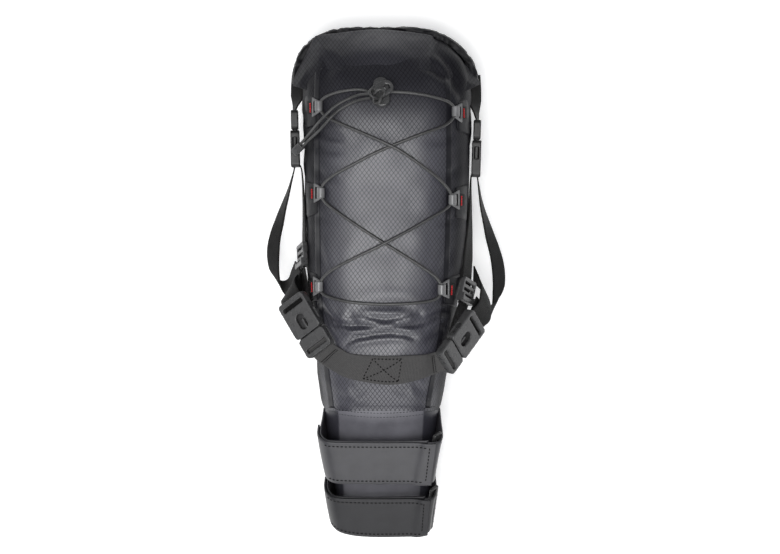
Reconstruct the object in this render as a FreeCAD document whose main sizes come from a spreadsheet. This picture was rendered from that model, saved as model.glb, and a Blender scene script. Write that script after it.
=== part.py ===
import FreeCAD, Part
import functools
import math
import os

import Sketcher
from FreeCAD import Matrix, Placement, Rotation, Vector

# A roll-top saddle bag lying on its underside. +Z is up out of the top panel, +Y runs
# to the rolled rear end and -Y to the nose, which straps to the seatpost. Millimetres.

doc = FreeCAD.newDocument("saddle_bag")
sheet = doc.addObject("Spreadsheet::Sheet", "Sizes")
SIZES = {
    "body_half": 83,  # half of the widest section
    "body_depth": 150,  # underside to top panel
    "wall": 1.2,  # coated fabric with its seam allowance
    "board": 1.4,  # sheet stiffeners inside
    "seam_along": -128,  # where the nose panel is stitched on
    "roll_tall": 26,
    "roll_thick": 11,
    "roll_strip_tall": 21,
    "roll_strip_thick": 2,
    "webbing": 1.6,
    "skin_gap": 0.4,
    "side_webbing": 20,
    "rail_webbing": 25,
    "post_webbing": 50,
    "post_thick": 2.2,
    "rail_buckle_long": 62,
    "rail_buckle_wide": 33,
    "rail_buckle_thick": 9.6,
    "roll_buckle_long": 58,
    "roll_buckle_wide": 29,
    "roll_buckle_thick": 9,
    "buckle_play": 0.3,
    "lock_long": 25,
    "lock_wide": 25,
    "lock_thick": 4.5,
    "cord": 3,
    "hook_long": 11,
    "hook_wide": 20,
    "hook_narrow": 10,
    "hook_thick": 2,
    "hook_barrel": 8,
    "cordlock_long": 30,
    "cordlock_wide": 15,
    "cordlock_tall": 7,
    "spring_radius": 4.8,
    "button_up": 10.2,
    "button_thick": 2.8,
    "button_long": 25,
    "button_wide": 15,
    "ring_long": 58,
    "ring_wide": 12,
    "ring_thick": 3.4,
    "clip_long": 14,
    "clip_wide": 8,
    "clip_thick": 5,
}
for row, (alias, value) in enumerate(SIZES.items(), start=1):
    sheet.set(f"A{row}", alias)
    sheet.set(f"B{row}", str(value))
    sheet.setAlias(f"B{row}", alias)
doc.recompute()

nodes = {}


def size(alias):
    """A driving dimension, read back from the sheet."""
    return float(getattr(sheet, alias))


def keep(label, made, placement=None):
    """Names a sub-part and puts it in its place."""
    made.Label = label
    made.Placement = placement or Placement()
    nodes[label] = made
    return made


def soft(label, shape):
    """A sub-part whose free-form solid is made by Part's own functions."""
    made = doc.addObject("Part::Feature", label)
    made.Shape = shape
    return keep(label, made)


def frame_at(origin, along, out):
    """The placement with local X along a direction and local Z facing out."""
    x = Vector(*along).normalize()
    z = Vector(*out)
    z = (z - x * z.dot(x)).normalize()
    y = z.cross(x)
    o = Vector(*origin)
    return Placement(Matrix(x.x, y.x, z.x, o.x, x.y, y.y, z.y, o.y, x.z, y.z, z.z, o.z, 0, 0, 0, 1))


UPRIGHT = (0, 0, 1)


def resting(origin, along, out):
    """The placement of a piece that lies on a surface which faces out."""
    way = Vector(*along)
    return frame_at(origin, way - out * way.dot(out), out)


# ---------------------------------------------------------------- bag surface

# Each station: distance along Y, the left and right edge as parts of body_half, and
# the lowest and highest point as parts of body_depth.
STATIONS = [
    (-253, -0.50, 0.45, 0.135, 0.235),
    (-240, -0.58, 0.51, 0.075, 0.310),
    (-200, -0.655, 0.575, 0.028, 0.525),
    (-150, -0.74, 0.645, 0.005, 0.735),
    (-128, -0.765, 0.672, -0.010, 0.830),
    (-90, -0.83, 0.755, -0.010, 0.955),
    (-55, -0.865, 0.825, -0.010, 0.995),
    (-18, -0.93, 0.885, -0.010, 1.000),
    (35, -0.96, 0.97, -0.010, 1.000),
    (90, -0.975, 1.005, -0.010, 1.000),
    (140, -0.98, 1.025, -0.010, 1.000),
    (182, -0.985, 1.01, -0.005, 0.985),
    (212, -0.96, 0.945, 0.060, 0.900),
    (232, -0.82, 0.74, 0.165, 0.770),
    (247, -0.53, 0.41, 0.300, 0.610),
]
ROUNDNESS = 3.0  # 2 would be an ellipse
SECTION_POINTS = 24


def section(station, inset):
    """One closed section of the bag, pulled in by inset."""
    along, left, right, low, high = station
    half, depth = size("body_half"), size("body_depth")
    middle = (left + right) / 2 * half
    reach = (right - left) / 2 * half - inset
    centre = (low + high) / 2 * depth
    rise = (high - low) / 2 * depth - inset
    points = []
    for k in range(SECTION_POINTS):
        turn = 2 * math.pi * k / SECTION_POINTS
        x = math.copysign(abs(math.cos(turn)) ** (2 / ROUNDNESS), math.cos(turn))
        z = math.copysign(abs(math.sin(turn)) ** (2 / ROUNDNESS), math.sin(turn))
        points.append(Vector(middle + reach * x, along, centre + rise * z))
    curve = Part.BSplineCurve()
    evenly = [k / SECTION_POINTS for k in range(SECTION_POINTS + 1)]
    curve.interpolate(Points=points, PeriodicFlag=True, Parameters=evenly)
    return Part.Wire([curve.toShape()])


@functools.cache
def body_loft(inset):
    """The whole bag's outer form, pulled in (or let out) by inset, with a flat underside."""
    stations = [list(s) for s in STATIONS]
    stations[0][0] += inset
    stations[-1][0] -= inset
    solid = Part.makeLoft([section(s, inset) for s in stations], True, False)
    floor = Part.makeBox(400, 700, 100, Vector(-200, -350, inset - 100))
    return solid.cut(floor)


skin = body_loft(0)
wrap = max(skin.Faces, key=lambda face: face.Area).Surface
SKY = 260


def height(x, y):
    """How high the bag's top surface is above a place in plan."""
    points, _ = Part.Line(Vector(x, y, 0), Vector(x, y, SKY)).intersectCS(wrap)
    return max(point.Z for point in points)


def above(x, y, lift):
    """The point that lies lift outside the top surface, measured square to it, near x and y."""
    step = 1.0
    z = height(x, y)
    slope_x = (height(x + step, y) - height(x - step, y)) / (2 * step)
    slope_y = (height(x, y + step) - height(x, y - step)) / (2 * step)
    out = Vector(-slope_x, -slope_y, 1).normalize()
    return Vector(x, y, z) + out * lift, out


@functools.cache
def layer(low, high):
    """The space between two distances outside the bag's surface."""
    return body_loft(-high).cut(body_loft(-low))


def slab(low, high, outline, start):
    """A layer between low and high outside the bag, cut to an outline and above a height."""
    points = [Vector(x, y, start) for x, y in outline]
    prism = Part.Face(Part.makePolygon(points + points[:1])).extrude(Vector(0, 0, SKY))
    return layer(low, high).common(prism)


half_space = Part.makeBox(600, 600, 600, Vector(-300, size("seam_along") - 600, -300))
hull = skin.cut(body_loft(size("wall")))
soft("bag_shell", hull.cut(half_space))
soft("nose_panel", hull.common(half_space))

board_gap = size("wall") + 0.5
board_ring = body_loft(board_gap).cut(body_loft(board_gap + size("board")))
nose_room = Part.makeBox(300, 105, 200, Vector(-150, -246, 40))
base_room = Part.makeBox(300, 285, 9, Vector(-150, -120, -1))
soft("nose_stiffener", board_ring.common(nose_room))
soft("base_stiffener", board_ring.common(base_room))


# ---------------------------------------------------------------- straps


def ribbon(first_edge, second_edge, thickness):
    """A strap as one closed solid between two edges, its thickness shared to both sides."""
    sections = []
    last = len(first_edge) - 1
    for i in range(last + 1):
        before, after = max(i - 1, 0), min(i + 1, last)
        along = first_edge[after] + second_edge[after] - first_edge[before] - second_edge[before]
        across = second_edge[i] - first_edge[i]
        out = along.cross(across).normalize() * (thickness / 2)
        ring = [first_edge[i] + out, second_edge[i] + out, second_edge[i] - out, first_edge[i] - out]
        sections.append(Part.makePolygon(ring + ring[:1]))
    return Part.makeLoft(sections, True, True)


def smooth(points, count):
    """Evenly spaced points on the smooth curve through a few points."""
    curve = Part.BSplineCurve()
    curve.interpolate([Vector(*p) for p in points])
    return curve.discretize(count)


def strap(path, facing, width, thickness, count=13):
    """A strap along a path; facing holds the direction across it at each point of the path."""
    first, second = [], []
    for i, point in enumerate(smooth(path, count)):
        share = i / (count - 1) * (len(facing) - 1)
        before = min(int(share), len(facing) - 2)
        across = Vector(*facing[before]) * (before + 1 - share)
        across += Vector(*facing[before + 1]) * (share - before)
        across.normalize()
        first.append(point - across * (width / 2))
        second.append(point + across * (width / 2))
    return ribbon(first, second, thickness)


ROLL_PATH = [
    (-90.2, 206), (-88, 219), (-79, 237), (-52, 252), (0, 254.5), (38, 253),
    (63, 244), (82.5, 226), (91, 205),
]
ROLL_HEIGHT = 68


def roll(tall, thick):
    """The flattened roll of fabric, or what lies inside it, bent round the bag's rear."""
    path = [(x, y, ROLL_HEIGHT) for x, y in ROLL_PATH]
    return strap(path, [UPRIGHT] * len(path), tall, thick, 33)


strip_room = roll(size("roll_strip_tall") + 0.6, size("roll_strip_thick") + 0.6)
soft("roll_top", roll(size("roll_tall"), size("roll_thick")).cut(strip_room))
soft("roll_stiffener", roll(size("roll_strip_tall"), size("roll_strip_thick")))

BOX_STRAP_OUTLINE = [
    (-59, -54), (-46, -66), (-33, -72), (-5, -74), (34, -73), (61, -67), (63, -83),
    (24, -99), (0, -102), (-20, -101), (-36, -96), (-55, -87), (-68, -79),
]
gap = size("skin_gap")
soft("box_strap", slab(gap, gap + size("webbing"), BOX_STRAP_OUTLINE, size("body_depth") / 2))


# ---------------------------------------------------------------- buckles


def block(name, long, wide, thick, at=("0", "0", "0")):
    """A rectangular block about a centre; every size is an expression."""
    made = doc.addObject("Part::Box", name)
    for side, axis, length, place in zip(("Length", "Width", "Height"), "xyz", (long, wide, thick), at):
        made.setExpression(side, length)
        made.setExpression(f"Placement.Base.{axis}", f"({place}) - ({length}) / 2")
    return made


def drum(name, radius, tall, at):
    """An upright cylinder about a centre; every size is an expression."""
    made = doc.addObject("Part::Cylinder", name)
    made.setExpression("Radius", radius)
    made.setExpression("Height", tall)
    made.setExpression("Placement.Base.x", at[0])
    made.setExpression("Placement.Base.y", at[1])
    made.setExpression("Placement.Base.z", f"({at[2]}) - ({tall}) / 2")
    return made


def joined(name, shapes):
    made = doc.addObject("Part::MultiFuse", name)
    made.Shapes = shapes
    return made


def cut_out(name, base, tools):
    made = doc.addObject("Part::Cut", name)
    made.Base = base
    made.Tool = joined(name + "_tools", tools) if len(tools) > 1 else tools[0]
    return made


def rounded(name, base, radius, along):
    """The base with its edges that run along one axis rounded."""
    doc.recompute()
    made = doc.addObject("Part::Fillet", name)
    made.Base = base
    picked = []
    for number, edge in enumerate(base.Shape.Edges, start=1):
        run = edge.Vertexes[-1].Point - edge.Vertexes[0].Point
        if run.Length > 0 and abs(abs(run.normalize().dot(Vector(*along))) - 1) < 1e-6:
            picked.append((number, radius, radius))
    made.Edges = picked
    return made


def female_half(label, kind, placement):
    """The socket of a side-release buckle; its mouth faces local -X, its web bar local +X."""
    long, wide, thick = (f"Sizes.{kind}_buckle_{s}" for s in ("long", "wide", "thick"))
    inner = f"{thick} - 4.6"
    body = block(label + "_body", f"{long} * 0.645", wide, thick, (f"{long} * 0.1775", "0", "0"))
    body = rounded(label + "_rounded", body, 3.5, UPRIGHT)
    mouth = block(label + "_mouth", f"{long} * 0.42", f"{wide} - 5", inner, (f"{long} * 0.05", "0", "0"))
    windows = block(label + "_windows", f"{long} * 0.21", f"{wide} + 2", inner,
                    (f"{long} * 0.08", "0", "0"))
    oval_a = drum(label + "_oval_a", f"{wide} * 0.15", thick, (f"{long} * 0.02", "0", f"{thick} / 2"))
    oval_b = drum(label + "_oval_b", f"{wide} * 0.15", thick, (f"{long} * 0.13", "0", f"{thick} / 2"))
    oval_c = block(label + "_oval_c", f"{long} * 0.11", f"{wide} * 0.3", thick,
                   (f"{long} * 0.075", "0", f"{thick} / 2"))
    slot = block(label + "_slot", f"{long} * 0.075", f"{wide} - 7", f"{thick} + 2",
                 (f"{long} * 0.375", "0", "0"))
    tools = [mouth, windows, oval_a, oval_b, oval_c, slot]
    return keep(label, cut_out(label, body, tools), placement)


def male_half(label, kind, placement):
    """The plug of a side-release buckle: base with web slot, two sprung arms and a guide."""
    long, wide, thick = (f"Sizes.{kind}_buckle_{s}" for s in ("long", "wide", "thick"))
    slim = f"{thick} - 4.6 - 2 * Sizes.buckle_play"
    reach = f"({wide} - 5) / 2 - Sizes.buckle_play"
    base = block(label + "_base", f"{long} * 0.34", wide, f"{thick} * 0.8", (f"-{long} * 0.33", "0", "0"))
    base = rounded(label + "_rounded", base, 3.5, UPRIGHT)
    pieces = [base, block(label + "_guide", f"{long} * 0.30", "3", slim, (f"-{long} * 0.03", "0", "0"))]
    for side in ("", "-"):
        arm = block(label + "_arm", f"{long} * 0.38", "3", slim,
                    (f"{long} * 0.01", f"{side}({reach} - 1.5)", "0"))
        barb = block(label + "_barb", f"{long} * 0.15", "5", slim,
                     (f"{long} * 0.125", f"{side}({reach} - 2.5)", "0"))
        pieces += [arm, barb]
    slot = block(label + "_slot", f"{long} * 0.075", f"{wide} - 7", f"{thick} + 2",
                 (f"-{long} * 0.39", "0", "0"))
    return keep(label, cut_out(label, joined(label + "_solid", pieces), [slot]), placement)


# Rail buckles: centre, direction from the plug end to the socket's web bar, outward face.
RAIL_BUCKLES = {
    "left": ((-79.5, -43, 132), (-0.50, 0.84, -0.20), (-0.42, -0.20, 0.88)),
    "right": ((75, -60, 126), (0.53, 0.72, -0.44), (0.45, -0.45, 0.77)),
}
for hand, (centre, along, out) in RAIL_BUCKLES.items():
    male_half(f"rail_buckle_male_{hand}", "rail", frame_at(centre, along, out))
    female_half(f"rail_buckle_female_{hand}", "rail", frame_at(centre, along, out))

# Roll-top buckles stand on edge beside the bag, plug end to the rear.
ROLL_BUCKLES = {
    "left": ((-92, 145.5, 78), (0.02, -1, 0), (-1, 0, 0)),
    "right": ((92.5, 135.5, 78), (-0.03, -1, 0), (1, 0, 0)),
}
for hand, (centre, along, out) in ROLL_BUCKLES.items():
    male_half(f"roll_buckle_male_{hand}", "roll", frame_at(centre, along, out))
    female_half(f"roll_buckle_female_{hand}", "roll", frame_at(centre, along, out))


# ---------------------------------------------------------------- webbing at the sides

webbing = size("webbing")
SIDE_STRAPS = {
    # name: (path, direction across at each point, width)
    "roll_tab_left": (
        [(-92.4, 175.5, 78), (-97.5, 186, 74.5), (-99.3, 203, 70), (-99.3, 212, 68.5)],
        [UPRIGHT] * 4, "side",
    ),
    "roll_tab_right": (
        [(93.4, 165.5, 78), (97.2, 182, 74), (98.6, 203, 70), (97.8, 212, 68.5)],
        [UPRIGHT] * 4, "side",
    ),
    "side_strap_left": (
        [(-86, 112, 78), (-84.5, 75, 84), (-83.6, 42, 92)],
        [UPRIGHT, UPRIGHT, (0.15, 0, 1)], "side",
    ),
    "side_strap_right": (
        [(86.6, 104, 78), (85.6, 60, 86), (81.0, 6, 100)],
        [UPRIGHT, (-0.1, 0, 1), (-0.45, 0, 0.9)], "side",
    ),
    "anchor_strap_left": (
        [(-82.6, 11, 98), (-80.8, -6, 103), (-77.6, -26, 110)],
        [(0.15, 0, 1), (0.3, 0, 1), (0.45, 0, 0.9)], "side",
    ),
    "anchor_strap_right": (
        [(77.6, -26, 108), (73.2, -38, 112), (69.6, -50, 115)],
        [(-0.5, 0, 0.87)] * 3, "side",
    ),
    "side_strap_tail_left": (
        [(-92.6, 115, 78), (-99, 92, 68), (-107.5, 66, 56), (-114.5, 38, 46), (-114, 10, 43),
         (-106, -5, 50), (-97.5, -4, 64), (-92.5, 6, 80)],
        [(0, 0, 1), (0.2, 0, 0.95), (0.55, 0.1, 0.8), (0.62, 0, 0.78), (0.5, -0.4, 0.75),
         (0.1, -0.7, 0.65), (0.2, -0.7, 0.6), (0.3, -0.5, 0.8)], "side",
    ),
    "side_strap_tail_right": (
        [(93.6, 105, 78), (98, 78, 68), (106, 50, 56), (114, 22, 46), (116, -3, 46),
         (112, -23, 58), (104, -32, 76), (96, -30, 94)],
        [(0, 0, 1), (-0.2, 0, 0.95), (-0.55, 0.1, 0.8), (-0.62, 0, 0.78), (-0.6, -0.3, 0.75),
         (-0.3, -0.7, 0.65), (-0.1, -0.8, 0.5), (-0.3, -0.7, 0.6)], "side",
    ),
    "rail_strap_left": (
        [(-96.5, -15.5, 121), (-98, -10.5, 113), (-97.5, -7.5, 106), (-95.5, -6, 101.5)],
        [(0.86, 0.5, 0.1), (0.7, 0.75, 0.1), (0.4, 0.9, 0.1), (0.25, 0.95, 0.1)], "rail",
    ),
    "rail_strap_right": (
        [(94, -37, 110), (99, -30.5, 99), (101.5, -20, 89), (101, -9, 81)],
        [(0.8, -0.55, 0), (0.6, -0.7, -0.15), (0.35, -0.75, -0.4), (0.2, -0.75, -0.6)], "rail",
    ),
}
for label, (path, facing, kind) in SIDE_STRAPS.items():
    soft(label, strap(path, facing, size(f"{kind}_webbing"), webbing, 4 * len(path)))


def ladder_lock(label, placement):
    """A frame with two web slots and a raised lift bar."""
    long, wide, thick = (f"Sizes.lock_{s}" for s in ("long", "wide", "thick"))
    frame = rounded(label + "_frame", block(label + "_plate", long, wide, thick), 2.5, UPRIGHT)
    lip = block(label + "_lip", f"{long} * 0.3", wide, thick, (f"{long} * 0.32", "0", f"{thick} * 0.6"))
    tools = []
    for share in ("-0.28", "-0.02", "0.22"):
        spot = (f"{long} * {share}", "0", "0")
        tools.append(block(label + "_slot", f"{long} * 0.12", f"{wide} - 5", f"{thick} * 4", spot))
    solid = joined(label + "_solid", [frame, lip])
    return keep(label, cut_out(label, solid, tools), placement)


LADDER_LOCKS = {
    "left": ((-84.4, 26.5, 96), (0.06, -1, 0.22), (-0.96, 0, 0.28)),
    "right": ((82.2, -9.5, 105.5), (-0.22, -0.95, 0.22), (0.87, 0, 0.5)),
}
for hand, (centre, along, out) in LADDER_LOCKS.items():
    ladder_lock(f"ladder_lock_{hand}", frame_at(centre, along, out))


# ---------------------------------------------------------------- cord hooks


def pd_sketch(owner, name, role, offset):
    """A sketch on an origin plane of its own body; offset is three expressions."""
    plane = next(f for f in owner.Origin.OriginFeatures if f.Role == role)
    drawn = owner.newObject("Sketcher::SketchObject", name)
    drawn.AttachmentSupport = [(plane, "")]
    drawn.MapMode = "FlatFace"
    for axis, text in zip("xyz", offset):
        drawn.setExpression(f"AttachmentOffset.Base.{axis}", text)
    return drawn


def bind(drawn, name, text):
    """Ties the last constraint to the sheet."""
    drawn.renameConstraint(drawn.ConstraintCount - 1, name)
    drawn.setExpression(f"Constraints.{name}", text)


def draw_rectangle(drawn, wide, tall):
    """A rectangle about the sketch's origin."""
    corners = [Vector(-2, -2, 0), Vector(2, -2, 0), Vector(2, 2, 0), Vector(-2, 2, 0)]
    for i in range(4):
        drawn.addGeometry(Part.LineSegment(corners[i], corners[(i + 1) % 4]))
    for i in range(4):
        drawn.addConstraint(Sketcher.Constraint("Coincident", i, 2, (i + 1) % 4, 1))
    for i, way in enumerate(("Horizontal", "Vertical", "Horizontal", "Vertical")):
        drawn.addConstraint(Sketcher.Constraint(way, i))
    drawn.addConstraint(Sketcher.Constraint("Symmetric", 0, 1, 1, 2, -1, 1))
    drawn.addConstraint(Sketcher.Constraint("DistanceX", 0, 1, 0, 2, 4))
    bind(drawn, "wide", wide)
    drawn.addConstraint(Sketcher.Constraint("DistanceY", 1, 1, 1, 2, 4))
    bind(drawn, "tall", tall)


def draw_circle(drawn, radius):
    drawn.addGeometry(Part.Circle(Vector(0, 0, 0), Vector(*UPRIGHT), 1))
    drawn.addConstraint(Sketcher.Constraint("Coincident", 0, 3, -1, 1))
    drawn.addConstraint(Sketcher.Constraint("Radius", 0, 1))
    bind(drawn, "radius", radius)


def draw_taper(drawn, narrow, wide, long):
    """A trapezoid that widens from the sketch's origin along its X axis."""
    corners = [Vector(0, -1, 0), Vector(0, 1, 0), Vector(3, 2, 0), Vector(3, -2, 0)]
    for i in range(4):
        drawn.addGeometry(Part.LineSegment(corners[i], corners[(i + 1) % 4]))
    for i in range(4):
        drawn.addConstraint(Sketcher.Constraint("Coincident", i, 2, (i + 1) % 4, 1))
    drawn.addConstraint(Sketcher.Constraint("Vertical", 0))
    drawn.addConstraint(Sketcher.Constraint("Symmetric", 0, 1, 0, 2, -1, 1))
    drawn.addConstraint(Sketcher.Constraint("Symmetric", 2, 1, 2, 2, -1))
    drawn.addConstraint(Sketcher.Constraint("DistanceY", 0, 1, 0, 2, 2))
    bind(drawn, "narrow", narrow)
    drawn.addConstraint(Sketcher.Constraint("DistanceY", 2, 2, 2, 1, 4))
    bind(drawn, "wide", wide)
    drawn.addConstraint(Sketcher.Constraint("DistanceX", 0, 2, 1, 2, 3))
    bind(drawn, "long", long)


def grow(owner, drawn, name, length):
    made = owner.newObject("PartDesign::Pad", name)
    made.Profile = drawn
    made.setExpression("Length", length)
    return made


def sink(owner, drawn, name, length):
    made = owner.newObject("PartDesign::Pocket", name)
    made.Profile = drawn
    made.setExpression("Length", length)
    return made


def cord_hook(label, placement):
    """A tapered plate with a web slot, its narrow end curled into a barrel for the cord."""
    made = doc.addObject("PartDesign::Body", label)
    barrel_up = "Sizes.hook_barrel / 2"
    plate = pd_sketch(made, label + "_plate_sketch", "XY_Plane", ("0", "0", "0"))
    draw_taper(plate, "Sizes.hook_narrow", "Sizes.hook_wide", "Sizes.hook_long")
    grow(made, plate, label + "_plate", "Sizes.hook_thick")
    barrel = pd_sketch(made, label + "_barrel_sketch", "XZ_Plane",
                       ("0", barrel_up, "-Sizes.hook_narrow / 2"))
    draw_circle(barrel, barrel_up)
    grow(made, barrel, label + "_barrel", "Sizes.hook_narrow")
    bore = pd_sketch(made, label + "_bore_sketch", "XZ_Plane",
                     ("0", barrel_up, "Sizes.hook_narrow / 2 + 1"))
    draw_circle(bore, "Sizes.cord / 2 + 0.7")
    sink(made, bore, label + "_bore", "Sizes.hook_narrow + 2")
    slot = pd_sketch(made, label + "_slot_sketch", "XY_Plane",
                     ("Sizes.hook_long * 0.74", "0", "Sizes.hook_thick + 1"))
    draw_rectangle(slot, "Sizes.hook_long * 0.25", "Sizes.hook_wide * 0.6")
    sink(made, slot, label + "_slot", "Sizes.hook_thick + 2")
    return keep(label, made, placement)


PATCH_LIFT = gap + 0.8
HOOK_LIFT = PATCH_LIFT + 0.3
PATCH_DROP = 26  # how far below its hook a patch reaches down the bag's shoulder
LOOP_DROP = 21
# Barrel centres in plan, and the outline of the welded patch beside each.
HOOKS = {
    "rear_left": ((-63.5, 176), [(-69.5, 185), (-69.5, 158), (-86, 150), (-86, 192)]),
    "rear_right": ((66.8, 170.5), [(72.5, 181), (72.5, 155), (89, 147), (89, 188)]),
    "middle_left": ((-61.5, 89.5), [(-69.5, 98), (-69.5, 71), (-86, 63), (-86, 106)]),
    "middle_right": ((63.8, 82.5), [(69.5, 95), (69.5, 68), (86, 60), (86, 103)]),
    "front_left": ((-62.8, -4.3), [(-68.5, 9), (-68.5, -16), (-82, -20), (-82, 14)]),
    "front_right": ((53.2, -7.2), [(60.5, 4), (60.5, -21), (76, -26), (76, 8)]),
}
patches = []
for spot, ((x, y), outline) in HOOKS.items():
    hand = math.copysign(1, x)
    base, out = above(x, y, HOOK_LIFT)
    outward = Vector(hand, 0, 0)
    cord_hook(f"cord_hook_{spot}", resting(base, outward, out))
    patches.append(slab(gap, PATCH_LIFT, outline, base.z - PATCH_DROP))
    start = x + hand * (size("hook_long") + 1.6)
    stop = start + hand * 7.5
    loop_outline = [(start, y + 6), (start, y - 6), (stop, y - 6), (stop, y + 6)]
    loop_lift = PATCH_LIFT + 0.2
    loop = slab(loop_lift, loop_lift + webbing, loop_outline, base.z - LOOP_DROP)
    soft(f"hook_loop_{spot}", loop)
soft("hook_patches", Part.makeCompound([s for p in patches for s in p.Solids]))


# ---------------------------------------------------------------- elastic cord


def tube(points, radius, name):
    """A cord of straight runs joined by tangent arcs as large as the runs allow."""
    edges = []
    radii = []
    at = points[0]
    for before, corner, after in zip(points, points[1:], points[2:]):
        inward = (before - corner).normalize()
        onward = (after - corner).normalize()
        half_turn = (math.pi - inward.getAngle(onward)) / 2
        shorter = min((before - corner).Length, (after - corner).Length)
        cut = 0.45 * shorter
        radii.append(cut / math.tan(half_turn))
        first = corner + inward * cut
        second = corner + onward * cut
        middle = corner + (inward + onward).normalize() * (radii[-1] / math.cos(half_turn) - radii[-1])
        edges += [Part.LineSegment(at, first).toShape(), Part.Arc(first, middle, second).toShape()]
        at = second
    edges.append(Part.LineSegment(at, points[-1]).toShape())
    wire = Part.Wire(edges)
    start = (points[1] - points[0]).normalize()
    ring = Part.Wire([Part.makeCircle(radius, points[0], start)])
    solid = wire.makePipeShell([ring], True, False, 0)
    expected = math.pi * radius**2 * wire.Length
    print(f"{name}: length {wire.Length:.1f}, least radius {min(radii):.1f}, "
          f"volume {solid.Volume:.0f} against {expected:.0f}")
    return solid


cord_radius = size("cord") / 2
LYING = gap + cord_radius + 1
IN_HOOK = HOOK_LIFT + size("hook_barrel") / 2
CROSSING = LYING + size("cord") - 0.6  # where one run of the cord passes over another
# The lacing, from the cord lock's right side to its left side: place in plan and lift.
LACING = [
    (34.5, 187.5, LYING), (52, 183.5, LYING), (62.5, 179.5, 4.6), (66.8, 171.8, IN_HOOK),
    (66.4, 165.2, 4.6), (59, 156.5, LYING), (42, 150.5, LYING), (19, 141.5, LYING),
    (-10, 129.5, LYING), (-34, 116.5, LYING), (-52, 106.5, LYING), (-60.5, 97.5, 4.6),
    (-61.5, 89.5, IN_HOOK), (-60, 81.5, 4.6), (-50.5, 72.5, LYING), (-30.7, 58, LYING),
    (-9, 43.5, LYING), (12, 30.5, LYING), (32, 17.8, LYING), (45.5, 8.3, LYING),
    (51.8, 0.8, 4.6), (53.2, -7.2, IN_HOOK), (51.8, -15, 4.6), (43, -19.5, LYING),
    (24, -21.8, LYING), (-8, -22.6, LYING), (-35, -20.4, LYING), (-52, -16.3, LYING),
    (-61, -11.5, 4.6), (-62.8, -4.3, IN_HOOK), (-60.8, 3.6, 4.6), (-52, 12.5, LYING),
    (-32, 23.5, LYING), (-12, 32.8, CROSSING), (7, 42.8, CROSSING), (27, 53.8, LYING),
    (47.5, 66, LYING), (61, 75, 4.6), (63.8, 82.5, IN_HOOK), (62.3, 90.5, 4.6),
    (54.5, 101.5, LYING), (38.5, 114.5, LYING), (14, 132, CROSSING), (-5, 141, CROSSING),
    (-31, 152.5, LYING), (-51, 161.5, LYING), (-60.7, 168.5, 4.6), (-63.5, 176, IN_HOOK),
    (-60.8, 183.5, 4.6), (-49, 189.2, LYING), (-33, 191.6, LYING), (-21, 191.4, 2.6),
]

CORDLOCK_AT = (-4, 188.5)
TUNNEL_UP = 3.3  # cord tunnel above the lock's base
lock_base, lock_out = above(*CORDLOCK_AT, gap + 0.3)
lock_place = resting(lock_base, (0.1, -1, 0), lock_out)
right_side = [lock_place.multVec(Vector(0, across, TUNNEL_UP)) for across in (1.2, 10)]
left_side = [lock_place.multVec(Vector(0, -across, TUNNEL_UP)) for across in (10, 1.2)]
route = right_side + [above(x, y, lift)[0] for x, y, lift in LACING] + left_side
soft("bungee_cord", tube(route, cord_radius, "bungee_cord"))

# The two free tails run from the knot over the left shoulder to the end clip.
TAILS = {
    "rear": [
        (-15.3, 187.5, 163.5), (-22, 187.8, 157), (-30, 186.2, 150.5), (-40, 182.3, 147.3),
        (-49, 177, 146.2), (-56, 171, 147), (-62.5, 164.5, 144.5), (-69, 157.5, 136.5),
        (-75, 150.5, 126.5), (-80.5, 144.5, 118.5), (-85.6, 139.2, 113.5),
    ],
    "front": [
        (-15, 183.5, 163.2), (-22, 183, 156.5), (-30, 181, 150.8), (-39.5, 176.8, 148),
        (-48, 171, 147.3), (-54.5, 164.8, 149), (-60.5, 158, 145.5), (-66.5, 151.5, 137.5),
        (-73, 146.2, 128), (-79, 141.4, 119.5), (-83.4, 136.4, 113.6),
    ],
}
for name, points in TAILS.items():
    label = f"bungee_tail_{name}"
    soft(label, tube([Vector(*p) for p in points], cord_radius, label))

knot = doc.addObject("Part::Ellipsoid", "bungee_knot")
for radius, share in (("Radius1", "1.15"), ("Radius2", "2.3"), ("Radius3", "2")):
    knot.setExpression(radius, f"Sizes.cord * {share}")
keep("bungee_knot", knot, Placement(Vector(-8.5, 186.5, 165), Rotation()))


# ---------------------------------------------------------------- cord lock and end clip


def oval(owner, name, long, wide, start, tall):
    """A pad with a rectangular outline whose corners round_corners then rounds."""
    drawn = pd_sketch(owner, name + "_sketch", "XY_Plane", ("0", "0", start))
    draw_rectangle(drawn, long, wide)
    grow(owner, drawn, name, tall)


def round_corners(owner, name, radius):
    """Rounds the upright edges of a body's last feature."""
    doc.recompute()
    base = owner.Tip
    upright = []
    for number, edge in enumerate(base.Shape.Edges, start=1):
        run = edge.Vertexes[-1].Point - edge.Vertexes[0].Point
        if run.Length > 0 and abs(abs(run.normalize().z) - 1) < 1e-6:
            upright.append(f"Edge{number}")
    made = owner.newObject("PartDesign::Fillet", name)
    made.Base = (base, upright)
    made.setExpression("Radius", radius)
    doc.recompute()


lock_body = doc.addObject("PartDesign::Body", "cord_lock_body")
oval(lock_body, "lock_base", "Sizes.cordlock_long", "Sizes.cordlock_wide", "0", "Sizes.cordlock_tall")
round_corners(lock_body, "lock_base_round", "Sizes.cordlock_wide / 2 - 0.2")
well = pd_sketch(lock_body, "lock_well_sketch", "XY_Plane", ("0", "0", "Sizes.cordlock_tall + 1"))
draw_circle(well, "Sizes.spring_radius + 0.4")
sink(lock_body, well, "lock_well", "2.7")
tunnel = pd_sketch(lock_body, "lock_tunnel_sketch", "XZ_Plane",
                   ("0", str(TUNNEL_UP), "Sizes.cordlock_wide / 2 + 1"))
draw_circle(tunnel, "Sizes.cord / 2 + 0.3")
sink(lock_body, tunnel, "lock_tunnel", "Sizes.cordlock_wide + 2")
keep("cord_lock_body", lock_body, lock_place)

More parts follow.
